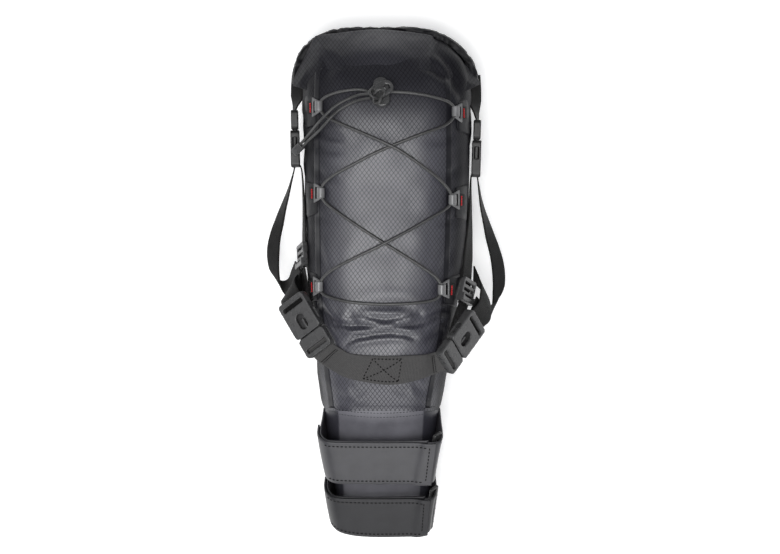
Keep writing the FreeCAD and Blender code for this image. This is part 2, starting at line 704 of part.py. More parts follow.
lock_button = doc.addObject("PartDesign::Body", "cord_lock_button")
oval(lock_button, "button_top", "Sizes.button_long", "Sizes.button_wide", "Sizes.button_up",
     "Sizes.button_thick")
round_corners(lock_button, "button_round", "Sizes.button_wide / 2 - 0.2")
eye = pd_sketch(lock_button, "button_eye_sketch", "XY_Plane",
                ("Sizes.button_long * 0.25", "0", "Sizes.button_up + Sizes.button_thick + 1"))
draw_circle(eye, "Sizes.cord")
sink(lock_button, eye, "button_eye", "Sizes.button_thick + 2")
stem = pd_sketch(lock_button, "button_stem_sketch", "XY_Plane", ("0", "0", "Sizes.button_up - 1.6"))
draw_circle(stem, "1.6")
grow(lock_button, stem, "button_stem", "2")
keep("cord_lock_button", lock_button, resting(lock_base, (0.86, 0.5, 0), lock_out))

coils = []
COIL_WIRE = 0.4
for turn in range(3):
    coil = doc.addObject("Part::Torus", f"spring_turn_{turn}")
    coil.setExpression("Radius1", "Sizes.spring_radius - 0.5")
    coil.Radius2 = COIL_WIRE
    coil.setExpression("Placement.Base.z", f"Sizes.cordlock_tall - 1.1 + {turn} * 1.6")
    coils.append(coil)
link = block("spring_link", "0.6", "0.6", "3.2",
             ("Sizes.spring_radius - 0.5", "0", "Sizes.cordlock_tall + 0.5"))
keep("cord_lock_spring", joined("cord_lock_spring", coils + [link]), lock_place)

clip = doc.addObject("PartDesign::Body", "cord_end_clip")
oval(clip, "clip_block", "Sizes.clip_long", "Sizes.clip_wide", "-Sizes.clip_thick / 2", "Sizes.clip_thick")
round_corners(clip, "clip_round", "1.5")
clip_mouth = (Vector(*TAILS["rear"][-1]) + Vector(*TAILS["front"][-1])) / 2
clip_way = Vector(-0.55, -0.5, -0.67).normalize()
clip_face = clip_way.cross(Vector(*TAILS["rear"][-1]) - Vector(*TAILS["front"][-1]))
clip_centre = clip_mouth + clip_way * (size("clip_long") / 2 + 0.1)
keep("cord_end_clip", clip, frame_at(clip_centre, clip_way, clip_face))


# ---------------------------------------------------------------- seatpost straps

# Each strap: where its rear edge crosses the nose, the nose's slope there in degrees, the
# reach to the left and right of its rear and front edges, the legs' depth and the gap.
POST_STRAPS = {
    "upper": {
        "along": -149, "slope": 33, "left": (65, 57.5), "right": (57, 50), "legs": -38, "gap": 20,
    },
    "lower": {
        "along": -203.5, "slope": 38, "left": (58.5, 53), "right": (54, 49), "legs": -30, "gap": 23,
    },
}
LEG_FLARE = (2.5, 6.5)  # how far the legs spread, at the rear and the front edge
RING_BACK = 13  # from the right side to where the strap meets its ring


def post_band(strap_sizes, profile, offset):
    """A strap across the nose's slope; profile gives an edge's (x, height) points."""
    slope = math.radians(strap_sizes["slope"])
    down = Vector(0, -math.cos(slope), -math.sin(slope))
    out = Vector(0, -math.sin(slope), math.cos(slope))
    foot = Vector(0, strap_sizes["along"], height(0, strap_sizes["along"]))
    edges = []
    for end, run in enumerate((0, size("post_webbing"))):
        middle = smooth([(x, 0, rise) for x, rise in profile(end)], 25)
        edge = []
        for i, point in enumerate(middle):
            way = (middle[min(i + 1, 24)] - middle[max(i - 1, 0)]).normalize()
            moved = point + Vector(-way.z, 0, way.x) * offset
            edge.append(foot + down * run + Vector(moved.x, 0, 0) + out * moved.z)
        edges.append(edge)
    return ribbon(edges[0], edges[1], size("post_thick"))


for name, spec in POST_STRAPS.items():
    rise = spec["gap"]

    def inner(end, spec=spec, rise=rise):
        """Up the left side and across the front to the ring."""
        reach, stop = spec["left"][end], spec["right"][end] - RING_BACK - 1
        flare = LEG_FLARE[end]
        return [(-reach - flare, spec["legs"]), (-reach - flare / 3, -8), (-reach, rise * 0.4),
                (-reach + 4.5, rise * 0.85), (-reach + 14, rise), (-12, rise + 1), (stop, rise)]

    def outer(end, spec=spec, rise=rise):
        """From the ring back across the front and down the left side."""
        reach, stop = spec["left"][end], spec["right"][end] - RING_BACK - 2
        return [(-reach - LEG_FLARE[end] / 3, -8), (-reach, rise * 0.4),
                (-reach + 4.5, rise * 0.85), (-reach + 14, rise), (-12, rise + 1), (stop, rise)]

    def tab(end, spec=spec, rise=rise):
        """Up the right side to the ring's lower bar."""
        reach = spec["right"][end]
        flare = LEG_FLARE[end]
        return [(reach + flare, spec["legs"]), (reach + flare / 2, -10), (reach, rise * 0.22)]

    soft(f"post_strap_band_{name}", post_band(spec, inner, 0))
    soft(f"post_strap_flap_{name}", post_band(spec, outer, size("post_thick") + 0.6))
    soft(f"post_strap_tab_{name}", post_band(spec, tab, 0))

    ring = doc.addObject("PartDesign::Body", f"post_strap_ring_{name}")
    oval(ring, f"ring_{name}_block", "Sizes.ring_long", "Sizes.ring_wide",
         "-Sizes.ring_thick / 2", "Sizes.ring_thick")
    round_corners(ring, f"ring_{name}_round", "2")
    hole = pd_sketch(ring, f"ring_{name}_hole_sketch", "XY_Plane", ("0", "0", "Sizes.ring_thick"))
    draw_rectangle(hole, "Sizes.ring_long - 4", "Sizes.ring_wide - 6.4")
    sink(ring, hole, f"ring_{name}_hole", "Sizes.ring_thick * 2")
    slope = math.radians(spec["slope"])
    down = Vector(0, -math.cos(slope), -math.sin(slope))
    out = Vector(0, -math.sin(slope), math.cos(slope))
    foot = Vector(0, spec["along"], height(0, spec["along"]))
    mean_right = sum(spec["right"]) / 2
    centre = foot + down * (size("post_webbing") / 2) + out * (rise * 0.22 + 7.5)
    centre += Vector(mean_right - 5, 0, 0)
    long_way = down * size("post_webbing") + Vector(spec["right"][1] - spec["right"][0], 0, 0)
    keep(f"post_strap_ring_{name}", ring, frame_at(centre, long_way, Vector(0.8, 0, 0) + out * 0.6))


# ---------------------------------------------------------------- checks and export

doc.recompute()
for made in doc.Objects:
    if {"Invalid", "Error"} & set(made.State):
        raise RuntimeError(f"{made.Name} failed: {made.State}")
for label, made in nodes.items():
    if made.Shape.isNull() or not made.Shape.isValid() or made.Shape.Volume < 1:
        raise RuntimeError(f"{label} has no valid solid")
os.makedirs("parts", exist_ok=True)
for label, made in nodes.items():
    made.Shape.exportStep(f"parts/{label}.step")
whole = FreeCAD.BoundBox()
for made in nodes.values():
    whole.add(made.Shape.BoundBox)
print(f"{len(nodes)} nodes, X {whole.XMin:.1f} to {whole.XMax:.1f}, "
      f"Y {whole.YMin:.1f} to {whole.YMax:.1f}, Z {whole.ZMin:.1f} to {whole.ZMax:.1f}")
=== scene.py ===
import math

import bmesh
import bpy
import numpy as np
from mathutils import Matrix, Vector, noise
from mathutils.bvhtree import BVHTree


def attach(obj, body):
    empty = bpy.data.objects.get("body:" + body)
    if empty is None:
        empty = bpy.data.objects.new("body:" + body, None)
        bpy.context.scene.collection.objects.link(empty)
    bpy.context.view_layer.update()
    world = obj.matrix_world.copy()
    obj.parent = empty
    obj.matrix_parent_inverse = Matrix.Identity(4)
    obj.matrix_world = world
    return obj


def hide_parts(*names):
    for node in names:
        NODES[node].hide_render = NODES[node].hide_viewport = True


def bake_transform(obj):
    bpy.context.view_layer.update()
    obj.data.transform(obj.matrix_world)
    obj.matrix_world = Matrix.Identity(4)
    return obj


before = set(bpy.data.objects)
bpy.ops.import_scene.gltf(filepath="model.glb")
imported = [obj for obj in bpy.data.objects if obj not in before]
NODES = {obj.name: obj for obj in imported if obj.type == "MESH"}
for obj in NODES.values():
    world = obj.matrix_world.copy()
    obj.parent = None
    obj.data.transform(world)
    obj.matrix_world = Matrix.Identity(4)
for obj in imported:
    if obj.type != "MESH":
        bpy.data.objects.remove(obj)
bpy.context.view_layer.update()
scene = bpy.context.scene
MM = 0.001
UP = Vector((0, 0, 1))


# ------------------------------------------------------------------ materials


class Look:
    """A node material being put together."""

    def __init__(self, name, rough, **fixed):
        self.material = bpy.data.materials.new(name)
        self.material.use_nodes = True
        self.tree = self.material.node_tree
        self.surface = self.tree.nodes["Principled BSDF"]
        self.surface.inputs["Roughness"].default_value = rough
        for key, value in fixed.items():
            self.surface.inputs[key.replace("_", " ")].default_value = value

    def feed(self, socket, value):
        if isinstance(value, bpy.types.NodeSocket):
            self.tree.links.new(value, socket)
        else:
            socket.default_value = value

    def node(self, kind, inputs=None, **options):
        made = self.tree.nodes.new("ShaderNode" + kind)
        for key, value in options.items():
            setattr(made, key, value)
        for key, value in (inputs or {}).items():
            self.feed(made.inputs[key], value)
        return made

    def math(self, operation, *values):
        return self.node("Math", dict(enumerate(values)), operation=operation).outputs[0]

    def ease(self, value, low, high, to_low=0.0, to_high=1.0):
        inputs = {0: value, 1: low, 2: high, 3: to_low, 4: to_high}
        return self.node("MapRange", inputs, interpolation_type="SMOOTHSTEP").outputs[0]

    def mix(self, share, first, second):
        made = self.node("Mix", {0: share, 6: first, 7: second}, data_type="RGBA")
        return made.outputs[2]

    def mottle(self, value, first, second):
        """Two colours blended over the middle of a noise's range."""
        return self.mix(self.ease(value, 0.3, 0.7), first, second)

    def attribute(self, name):
        """The x, y and z of a vector stored on the mesh, in millimetres."""
        vector = self.node("Attribute", attribute_name=name).outputs["Vector"]
        parts = self.node("SeparateXYZ", {0: vector})
        return parts.outputs[0], parts.outputs[1], parts.outputs[2], vector

    def place(self):
        """Object coordinates in millimetres."""
        at = self.node("TexCoord").outputs["Object"]
        return self.node("VectorMath", {0: at, "Scale": 1 / MM}, operation="SCALE").outputs[0]

    def noise(self, vector, scale, detail=3.0):
        return self.node("TexNoise", {"Vector": vector, "Scale": scale, "Detail": detail}).outputs["Fac"]

    def finish(self, colour=None, height=None, lift=0.2, rough=None):
        """Links colour, roughness and bump; height is in units of lift millimetres."""
        if colour is not None:
            self.feed(self.surface.inputs["Base Color"], colour)
        if rough is not None:
            self.feed(self.surface.inputs["Roughness"], rough)
        if height is not None:
            bump = self.node("Bump", {"Strength": 1.0, "Distance": lift * MM, "Height": height})
            self.feed(self.surface.inputs["Normal"], bump.outputs[0])
        return self.material


def grey(value, tint=(1, 1, 1)):
    return (value * tint[0], value * tint[1], value * tint[2], 1)


# tints, and the size of one ripstop diamond in millimetres
COOL = (0.93, 0.92, 1.22)
PALE_BLUE = (0.97, 0.96, 1.1)
WARM = (1.02, 1.0, 1.0)
DIAMOND = (4.5, 5.75)


def ripstop():
    """Coated diamond ripstop on the top and plainer fabric down the sides, with painted light: the top
    panel is painted lighter, the sides and the rear darker as painted shade.
    """
    look = Look("ripstop_fabric", 0.42, Specular_IOR_Level=0.5)
    # top: the share of painted light stored on the mesh; where it is high the top panel is painted lighter,
    # where it is low the fabric is painted darker as shade
    across, along, top, vector = look.attribute("weave")
    columns = look.math("DIVIDE", across, DIAMOND[0])
    rows = look.math("DIVIDE", along, DIAMOND[1])
    lines = []
    for operation in ("ADD", "SUBTRACT"):
        turn = look.math("FRACT", look.math(operation, columns, rows))
        lines.append(look.math("ABSOLUTE", look.math("SUBTRACT", turn, 0.5)))
    near = look.math("MINIMUM", *lines)
    cell = look.ease(near, 0.015, 0.12)
    patchy = look.noise(vector, 0.03, 2)
    threads = look.noise(vector, 1.6, 2)
    top_cell = look.ease(cell, 0, 1, 0.42, 0.93)
    shade = look.math("MULTIPLY", top_cell, look.ease(patchy, 0.3, 0.7, 0.88, 1.1))
    # lit is the top panel's colour with painted light; side below is the same fabric painted darker as
    # shade
    lit = look.mix(shade, grey(0.003, COOL), grey(0.04, COOL))
    spun = look.ease(threads, 0.3, 0.7, 0.8, 1.1)
    side_cell = look.math("MULTIPLY", look.ease(cell, 0, 1, 0.55, 1.0), spun)
    side = look.mix(side_cell, grey(0.0025, COOL), grey(0.0085, COOL))
    colour = look.mix(top, side, lit)
    raised = look.math("ADD", look.math("MULTIPLY", cell, 0.6), look.math("MULTIPLY", threads, 0.3))
    rough = look.ease(top, 0, 1, 0.6, 0.42)
    gloss = look.math("MULTIPLY", look.ease(cell, 0, 1, 0.45, 1.0), look.ease(top, 0, 1, 0.14, 0.85))
    look.feed(look.surface.inputs["Specular IOR Level"], gloss)
    return look.finish(colour, raised, 0.16, rough)


def coated():
    """The smooth coated fabric of the nose, darker on its welded side strips."""
    look = Look("nose_fabric", 0.5, Specular_IOR_Level=0.5)
    _, _, front, vector = look.attribute("weave")
    patchy = look.noise(vector, 0.05, 3)
    grain = look.noise(vector, 1.1, 2)
    light = look.mottle(patchy, grey(0.097, PALE_BLUE), grey(0.123, PALE_BLUE))
    dark = look.mottle(grain, grey(0.022, COOL), grey(0.032, COOL))
    colour = look.mix(front, dark, light)
    return look.finish(colour, grain, 0.05)


def crumpled():
    """Coated fabric in shadowed folds, its dark colour partly the fabric's own and partly painted shade."""
    look = Look("crumpled_fabric", 0.5, Specular_IOR_Level=0.22)
    vector = look.place()
    patchy = look.noise(vector, 0.08, 4)
    grain = look.noise(vector, 1.2, 2)
    # painted shade: the roll's fabric is painted much darker than the lit top of the bag
    colour = look.mottle(patchy, grey(0.0025, COOL), grey(0.007, COOL))
    return look.finish(colour, look.math("ADD", grain, look.math("MULTIPLY", patchy, 3)), 0.3)


def webbing(name, value, rib=1.25):
    """Woven tape: ribs across it and fine herringbone between them."""
    look = Look(name, 0.62, Specular_IOR_Level=0.1)
    along, across, _, vector = look.attribute("tape")
    turn = look.math("FRACT", look.math("DIVIDE", along, rib))
    ridge = look.math("SINE", look.math("MULTIPLY", turn, math.pi))
    slant = look.math("FRACT", look.math("DIVIDE", look.math("ADD", along, across), 0.9))
    twill = look.math("SINE", look.math("MULTIPLY", slant, math.pi))
    fuzz = look.noise(vector, 0.7, 4)
    height = look.math("ADD", look.math("MULTIPLY", ridge, 0.7), look.math("MULTIPLY", twill, 0.3))
    share = look.math("MULTIPLY", look.ease(height, 0, 1, 0.55, 1), look.ease(fuzz, 0.2, 0.8, 0.75, 1.1))
    colour = look.mix(share, grey(value * 0.3, WARM), grey(value, WARM))
    return look.finish(colour, height, 0.22)


def strap_film(name, value, gloss):
    """The smooth coated face of the seatpost straps."""
    look = Look(name, 0.46, Specular_IOR_Level=gloss)
    vector = look.attribute("tape")[3]
    patchy = look.noise(vector, 0.05, 3)
    grain = look.noise(vector, 1.4, 3)
    low, high = grey(value * 0.86, PALE_BLUE), grey(value * 1.14, PALE_BLUE)
    colour = look.mix(look.ease(patchy, 0.25, 0.75), low, high)
    return look.finish(colour, grain, 0.06)


def moulded(name, value, rough=0.36, grain=0.04, tint=(1, 1, 1.02), gloss=0.55):
    """Injection-moulded plastic with a fine spark-eroded grain and slight handling wear."""
    look = Look(name, rough, Specular_IOR_Level=gloss)
    vector = look.place()
    fine = look.noise(vector, 2.2, 3)
    broad = look.noise(vector, 0.12, 3)
    colour = look.mottle(broad, grey(value * 0.85, tint), grey(value * 1.15, tint))
    worn = look.ease(broad, 0.35, 0.75, rough - 0.06, rough + 0.08)
    return look.finish(colour, fine, grain, worn)


def braid():
    """Braided sheath of an elastic cord: two sets of strands winding opposite ways."""
    look = Look("cord_braid", 0.42, Specular_IOR_Level=0.55)
    uv = look.node("TexCoord").outputs["UV"]
    parts = look.node("SeparateXYZ", {0: uv})
    vector = look.place()
    fleck = look.noise(vector, 1.3, 2)
    weave = look.node("TexVoronoi", {"Vector": vector, "Scale": 1.1}).outputs["Distance"]
    turn = look.math("MULTIPLY", parts.outputs[1], 6.0)
    ring = look.math("SINE", look.math("MULTIPLY", look.math("FRACT", turn), math.pi))
    height = look.math("ADD", look.math("MULTIPLY", weave, 0.7), look.math("MULTIPLY", ring, 0.5))
    colour = look.mottle(fleck, grey(0.014), grey(0.045))
    return look.finish(colour, height, 0.2)


def thread(name, colour):
    look = Look(name, 0.5, Specular_IOR_Level=0.12)
    vector = look.place()
    twist = look.noise(vector, 2.5, 2)
    dark = tuple(c * 0.55 for c in colour[:3]) + (1,)
    return look.finish(look.mottle(twist, dark, colour), twist, 0.12)


def wire():
    look = Look("spring_wire", 0.3, Metallic=1.0)
    vector = look.place()
    drawn = look.noise(vector, 1.5, 3)
    colour = look.mix(drawn, grey(0.42), grey(0.62))
    return look.finish(colour, drawn, 0.03)


def paper():
    """The plain pale floor, which glows a little: painted light that lifts the shadows cast on it."""
    look = Look("pale_floor", 0.9, Specular_IOR_Level=0.1)
    vector = look.place()
    soft_noise = look.noise(vector, 0.004, 2)
    colour = look.mottle(soft_noise, grey(0.90), grey(0.92))
    # painted light: the floor glows, though it is no lamp, to wash out the shadows on it
    look.surface.inputs["Emission Color"].default_value = (1, 1, 1, 1)
    look.surface.inputs["Emission Strength"].default_value = 0.34
    return look.finish(colour)


M = {
    "ripstop": ripstop(),
    "nose": coated(),
    "crumpled": crumpled(),
    "tape": webbing("webbing_tape", 0.011),
    "wide_tape": webbing("webbing_wide", 0.062, 1.5),
    "post": strap_film("post_strap_face", 0.028, 0.5),
    # the lower strap: the same film painted darker and less glossy, as painted shade
    "post_painted_shade": strap_film("post_strap_painted_shade", 0.014, 0.32),
    "buckle": moulded("buckle_plastic", 0.016, 0.38, gloss=0.22),
    "buckle_face": moulded("buckle_face", 0.046, 0.3, gloss=0.42),
    "hook": moulded("hook_plastic", 0.125, 0.36),
    "lock": moulded("lock_plastic", 0.045, 0.3),
    "ring": moulded("ring_plastic", 0.022, 0.4),
    "board": moulded("board_plastic", 0.02, 0.5),
    "film": moulded("patch_film", 0.006, 0.52, 0.06, COOL, 0.14),
    "seam_tape": moulded("seam_tape", 0.009, 0.44, 0.05, COOL, 0.2),
    "braid": braid(),
    "black_thread": thread("black_thread", grey(0.008)),
    "grey_thread": thread("grey_thread", grey(0.05)),
    "red_thread": thread("red_thread", (0.62, 0.02, 0.025, 1)),
    "wire": wire(),
    "floor": paper(),
}


# ------------------------------------------------------------------ mesh helpers


def add_object(name, data, body="bag", stands_for=()):
    made = bpy.data.objects.new(name, data)
    scene.collection.objects.link(made)
    if body:
        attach(made, body)
    if stands_for:
        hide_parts(*stands_for)
    return made


def mesh_of(name, points, faces, material, smooth=True):
    data = bpy.data.meshes.new(name)
    data.from_pydata([tuple(p) for p in points], [], faces)
    data.materials.append(material)
    data.validate()
    if smooth:
        data.shade_smooth()
    return data


def store(data, name, values):
    """Keeps one vector per vertex on the mesh for its material."""
    made = data.attributes.new(name, "FLOAT_VECTOR", "POINT")
    made.data.foreach_set("vector", np.asarray(values, np.float32).ravel())


def grid_faces(rows, columns, closed=False):
    faces = []
    for i in range(rows - 1):
        for j in range(columns if closed else columns - 1):
            k = (j + 1) % columns
            faces.append((i * columns + j, i * columns + k, (i + 1) * columns + k, (i + 1) * columns + j))
    return faces


def tree_of(*meshes):
    """One ray-casting tree of several meshes."""
    points, faces = [], []
    for data in meshes:
        base = len(points)
        points += [v.co.copy() for v in data.vertices]
        faces += [[base + i for i in p.vertices] for p in data.polygons]
    return BVHTree.FromPolygons(points, faces)


hull = tree_of(NODES["bag_shell"].data, NODES["nose_panel"].data)
# where rays start, well outside the bag, in metres
HIGH, LOW, WIDE = 0.4, -0.2, 0.3


def top_of(tree, x, y):
    """The highest point of a tree at a place given in millimetres, and its normal."""
    spot, out, _, _ = tree.ray_cast(Vector((x * MM, y * MM, HIGH)), -UP)
    return spot, out


def middle_height(y):
    """Half way up the hull on its centre line, in metres; y is in millimetres."""
    high = hull.ray_cast(Vector((0, y * MM, HIGH)), -UP)[0].z
    low = hull.ray_cast(Vector((0, y * MM, LOW)), UP)[0].z
    return (high + low) / 2


def above(x, y, lift):
    """The point lift outside the bag's CAD surface, square to it."""
    spot, _ = top_of(hull, x, y)
    step = 1.5
    east, west = top_of(hull, x + step, y)[0], top_of(hull, x - step, y)[0]
    north, south = top_of(hull, x, y + step)[0], top_of(hull, x, y - step)[0]
    if None in (east, west, north, south):
        return spot + UP * lift * MM, UP
    out = (east - west).cross(north - south).normalized()
    return spot + out * lift * MM, out


# ------------------------------------------------------------------ the bag


NOSE_SEAM = -128
COLUMNS = 320
TOP_LEFT, TOP_RIGHT = -64, 60  # welded seams of the top panel, from the middle of the top

# Creases in the fabric: path across the top in (x, y), width, depth, and how far the
# fabric swells beside it.
CREASES = [
    ([(-19, -35.5), (0, -37), (19, -35.5)], 3.0, 2.8, 1.3),
    ([(-10, -44.5), (-24, -43.5), (-36, -44), (-50, -40)], 3.0, 3.6, 1.5),
    ([(9, -44), (20, -43.5), (30, -42.5), (38, -41)], 3.0, 3.6, 1.5),
    ([(-42, -62), (-30, -56), (-12, -52.5), (4, -51), (18, -51.8), (30, -56)], 3.0, 3.4, 1.5),
    ([(36, -42), (46, -36.5), (56, -31.5), (66, -30)], 3.6, 3.2, 1.3),
    ([(-47, -46), (-57, -37), (-64, -29), (-71, -20)], 4.0, 3.6, 1.2),
    ([(-30, -24), (0, -22), (30, -24)], 6.0, 1.2, 0.6),
    ([(-33, -30), (-36, -36), (-28, -42)], 4.0, 1.2, 0.6),
    ([(33, -30), (36, -36), (27, -41)], 4.0, 1.2, 0.6),
    ([(40, -62), (52, -54), (60, -46)], 5.0, 2.2, 0.8),
    ([(-52, -66), (-60, -56), (-66, -44)], 4.5, 2.4, 0.8),
    # the right shoulder
    ([(38, 221), (52, 213), (64, 203), (73, 190)], 5.5, 4.2, 1.4),
    ([(52, 232), (66, 216), (76, 198)], 5.0, 3.4, 1.2),
    ([(63, 222), (70, 206), (76, 190), (79, 176)], 4.5, 2.6, 1.2),
    # the dent in the middle of the rear
    ([(8, 246), (16, 240), (30, 238)], 7.0, 2.6, 1.0),
    ([(18, 236), (26, 233), (34, 234)], 5.0, 1.6, 0.6),
    # the left shoulder
    ([(-66, 246), (-72, 226), (-76, 204)], 5.0, 2.2, 1.0),
    ([(-50, 236), (-58, 218), (-64, 200)], 7.0, 1.4, 0.8),
    # pulled towards the hooks
    ([(-70, 152), (-58, 146), (-42, 143)], 4.5, 1.6, 0.7),
    ([(-72, 140), (-60, 133), (-46, 131)], 4.5, 1.4, 0.7),
    ([(-74, 116), (-62, 106), (-48, 100)], 4.2, 1.5, 0.7),
    ([(-76, 70), (-66, 64), (-54, 62)], 4.2, 1.4, 0.6),
    ([(76, 116), (66, 108), (54, 104)], 4.5, 1.4, 0.6),
    ([(76, 66), (64, 60), (52, 60)], 4.5, 1.4, 0.6),
    ([(70, 148), (58, 142), (46, 140)], 4.5, 1.3, 0.6),
    ([(-70, 40), (-62, 20), (-58, 8)], 5.0, 1.2, 0.6),
    ([(66, 34), (60, 18), (52, 6)], 5.0, 1.2, 0.6),
    # below the webbing
    ([(-36, -108), (-28, -112), (-20, -108)], 4.0, 1.3, 0.5),
    ([(28, -102), (34, -108), (41, -112)], 4.0, 1.3, 0.5),
    ([(-48, -112), (-40, -118), (-30, -118)], 4.5, 1.0, 0.4),
    ([(6, -106), (16, -110), (26, -110)], 4.5, 0.9, 0.4),
]


def crease_depth(points, crease):
    """How far each point in plan is pushed in by one crease, in millimetres."""
    path, width, depth, swell = crease
    nearest = np.full(len(points), 1e9)
    share = np.zeros(len(points))
    runs = [math.dist(a, b) for a, b in zip(path, path[1:])]
    done = 0.0
    for (ax, ay), (bx, by), run in zip(path, path[1:], runs):
        t = ((points[:, 0] - ax) * (bx - ax) + (points[:, 1] - ay) * (by - ay)) / run**2
        t = np.clip(t, 0, 1)
        away = np.hypot(points[:, 0] - ax - t * (bx - ax), points[:, 1] - ay - t * (by - ay))
        closer = away < nearest
        nearest = np.where(closer, away, nearest)
        share = np.where(closer, (done + t * run) / sum(runs), share)
        done += run
    fade = np.sqrt(np.clip(np.sin(share * math.pi), 0.0, 1.0)) * 0.85 + 0.15
    fade *= np.exp(-np.clip(nearest - 4 * width, 0, None) / width)
    pit = np.exp(-((nearest / width) ** 2) * 1.6)
    rim = np.exp(-(((nearest - 1.9 * width) / (0.9 * width)) ** 2))
    return fade * (depth * pit - swell * rim)


# Where the fabric reaches to at the sides behind the lacing: distance along Y, left and right.
REAR_EDGES = [
    (150, -83.5, 86.0), (190, -83.0, 85.5), (205, -83.5, 84.5), (217, -83.0, 80.5),
    (226, -80.0, 76.5), (234, -76.5, 70.0), (240, -72.5, 64.0), (247, -67.0, 53.0),
]


def rear_reach(y):
    """The fabric's left and right edge at a distance along the bag's rear, in metres."""
    stops = [r[0] for r in REAR_EDGES]
    return [float(np.interp(y, stops, [r[side] for r in REAR_EDGES])) * MM for side in (1, 2)]


def hull_ring(y):
    """The hull's section at y, widened to the fabric's edges at the rear, with the ways out of it."""
    middle = middle_height(y)
    right = hull.ray_cast(Vector((WIDE, y * MM, middle)), Vector((-1, 0, 0)))[0].x
    left = hull.ray_cast(Vector((-WIDE, y * MM, middle)), Vector((1, 0, 0)))[0].x
    centre = Vector(((left + right) / 2, y * MM, middle))
    ring, outs = [], []
    for k in range(COLUMNS):
        angle = 2 * math.pi * k / COLUMNS + math.pi / 2
        way = Vector((math.cos(angle), 0, math.sin(angle)))
        spot, out, _, _ = hull.ray_cast(centre + way * WIDE, -way)
        ring.append(spot)
        outs.append(out)
    reach = rear_reach(y)
    turning = min(max((y - 150) / 55, 0), 1)
    middle_x = centre.x * (1 - turning) + (reach[0] + reach[1]) / 2 * turning
    for spot in ring:
        edge, goal = (left, reach[0]) if spot.x < centre.x else (right, reach[1])
        wide = middle_x + (spot.x - centre.x) * (goal - middle_x) / (edge - centre.x)
        spot.x = spot.x * (1 - turning) + wide * turning
    return ring, outs, centre.x


def ring_weave(ring, y, centre_x):
    """Weave coordinates round one section: distance from the top, distance along, and the share of painted
    light on the top panel.
    """
    half = COLUMNS // 2
    lengths = [0.0] * COLUMNS
    for k in range(1, half + 1):
        lengths[k] = lengths[k - 1] - (ring[k] - ring[k - 1]).length / MM
    for k in range(1, half):
        lengths[-k] = lengths[(1 - k) % COLUMNS] + (ring[-k] - ring[(1 - k) % COLUMNS]).length / MM
    # painted shade: the top panel's painted light fades away towards the rear
    rear = min(max((y - 120) / 95, 0), 1)
    fade = 1 - 0.8 * rear * rear * (3 - 2 * rear)
    weave = []
    for length in lengths:
        arc = length - centre_x / MM
        panel = min(max((min(arc - TOP_LEFT, TOP_RIGHT - arc) + 20) / 34, 0), 1)
        weave.append((length, y, panel * fade))
    return weave


def grid_normals(points, hull_normals):
    """Smooth ways out of the fabric, from the grid of points itself."""
    grid = points.reshape(-1, COLUMNS, 3)
    along = np.gradient(grid, axis=0)
    around = np.roll(grid, -1, axis=1) - np.roll(grid, 1, axis=1)
    out = np.cross(around, along).reshape(-1, 3)
    out /= np.linalg.norm(out, axis=1, keepdims=True) + 1e-12
    sign = np.sign((out * np.array(hull_normals)).sum(1))
    return out * np.where(sign == 0, 1, sign)[:, None]


def fabric_lift(points, out):
    """How far the fabric stands off the hull, in millimetres: creases, slack, gathers and packing."""
    plan = points[:, :2] / MM
    facing_up = np.clip((out[:, 2] + 0.15) / 0.4, 0, 1)
    sides = 1 - facing_up
    push = np.zeros(len(points))
    for crease in CREASES:
        push += crease_depth(plan, crease)
    slack = np.zeros(len(points))
    ripple = np.zeros(len(points))
    for i, p in enumerate(points):
        q = Vector(p) / MM
        slack[i] = noise.noise(q * 0.018 + Vector((3.1, 0, 0)))
        ripple[i] = noise.noise(Vector((q.x * 0.045, q.y * 0.05, q.z * 0.045)))
    behind_seam = np.clip((plan[:, 1] - NOSE_SEAM) / 10, 0, 1)
    lift = facing_up * (-push) + behind_seam * (slack * 1.3 + ripple * 0.9) - 0.4
    # the seam of the nose panel pulls the fabric in a little
    lift -= 0.7 * np.exp(-(((plan[:, 1] - NOSE_SEAM) / 2.2) ** 2))
    gathers = np.sin(plan[:, 1] * 0.11 + 6 * slack + 4 * ripple) * np.clip(sides, 0, 1)
    lift += 0.6 * gathers * behind_seam
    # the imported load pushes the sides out, most of all beside the roll buckles
    level = np.exp(-(((points[:, 2] - 0.072) / 0.045) ** 2))
    packed = np.clip((plan[:, 1] + 30) / 60, 0, 1) * np.clip((215 - plan[:, 1]) / 40, 0, 1)
    at_buckles = np.exp(-(((plan[:, 1] - 165) / 35) ** 2))
    lift += level * sides * (0.6 + 2.2 * packed + 2.0 * at_buckles)
    underside = points[:, 2] < 0.006
    return np.where(underside, 0, lift)


def close_end(listed, extra, faces, part, values, end, sign_y):
    """Rounds off one open end of a fabric tube with rings that shrink to a point."""
    ring = list(range(end * COLUMNS, (end + 1) * COLUMNS))
    middle = part[ring].mean(0)
    previous = ring
    for share, bulge in ((0.8, 0.8), (0.5, 1.2), (0.2, 1.4)):
        base = len(listed)
        for i in ring:
            listed.append(middle + (part[i] - middle) * share + np.array([0, sign_y * bulge * MM, 0]))
            extra.append(values[i])
        for k in range(COLUMNS):
            n = (k + 1) % COLUMNS
            faces.append((previous[k], previous[n], base + n, base + k))
        previous = list(range(base, base + COLUMNS))
    tip = len(listed)
    listed.append(middle + np.array([0, sign_y * 1.5 * MM, 0]))
    extra.append(values[end * COLUMNS])
    for k in range(COLUMNS):
        faces.append((tip - COLUMNS + k, tip - COLUMNS + (k + 1) % COLUMNS, tip))


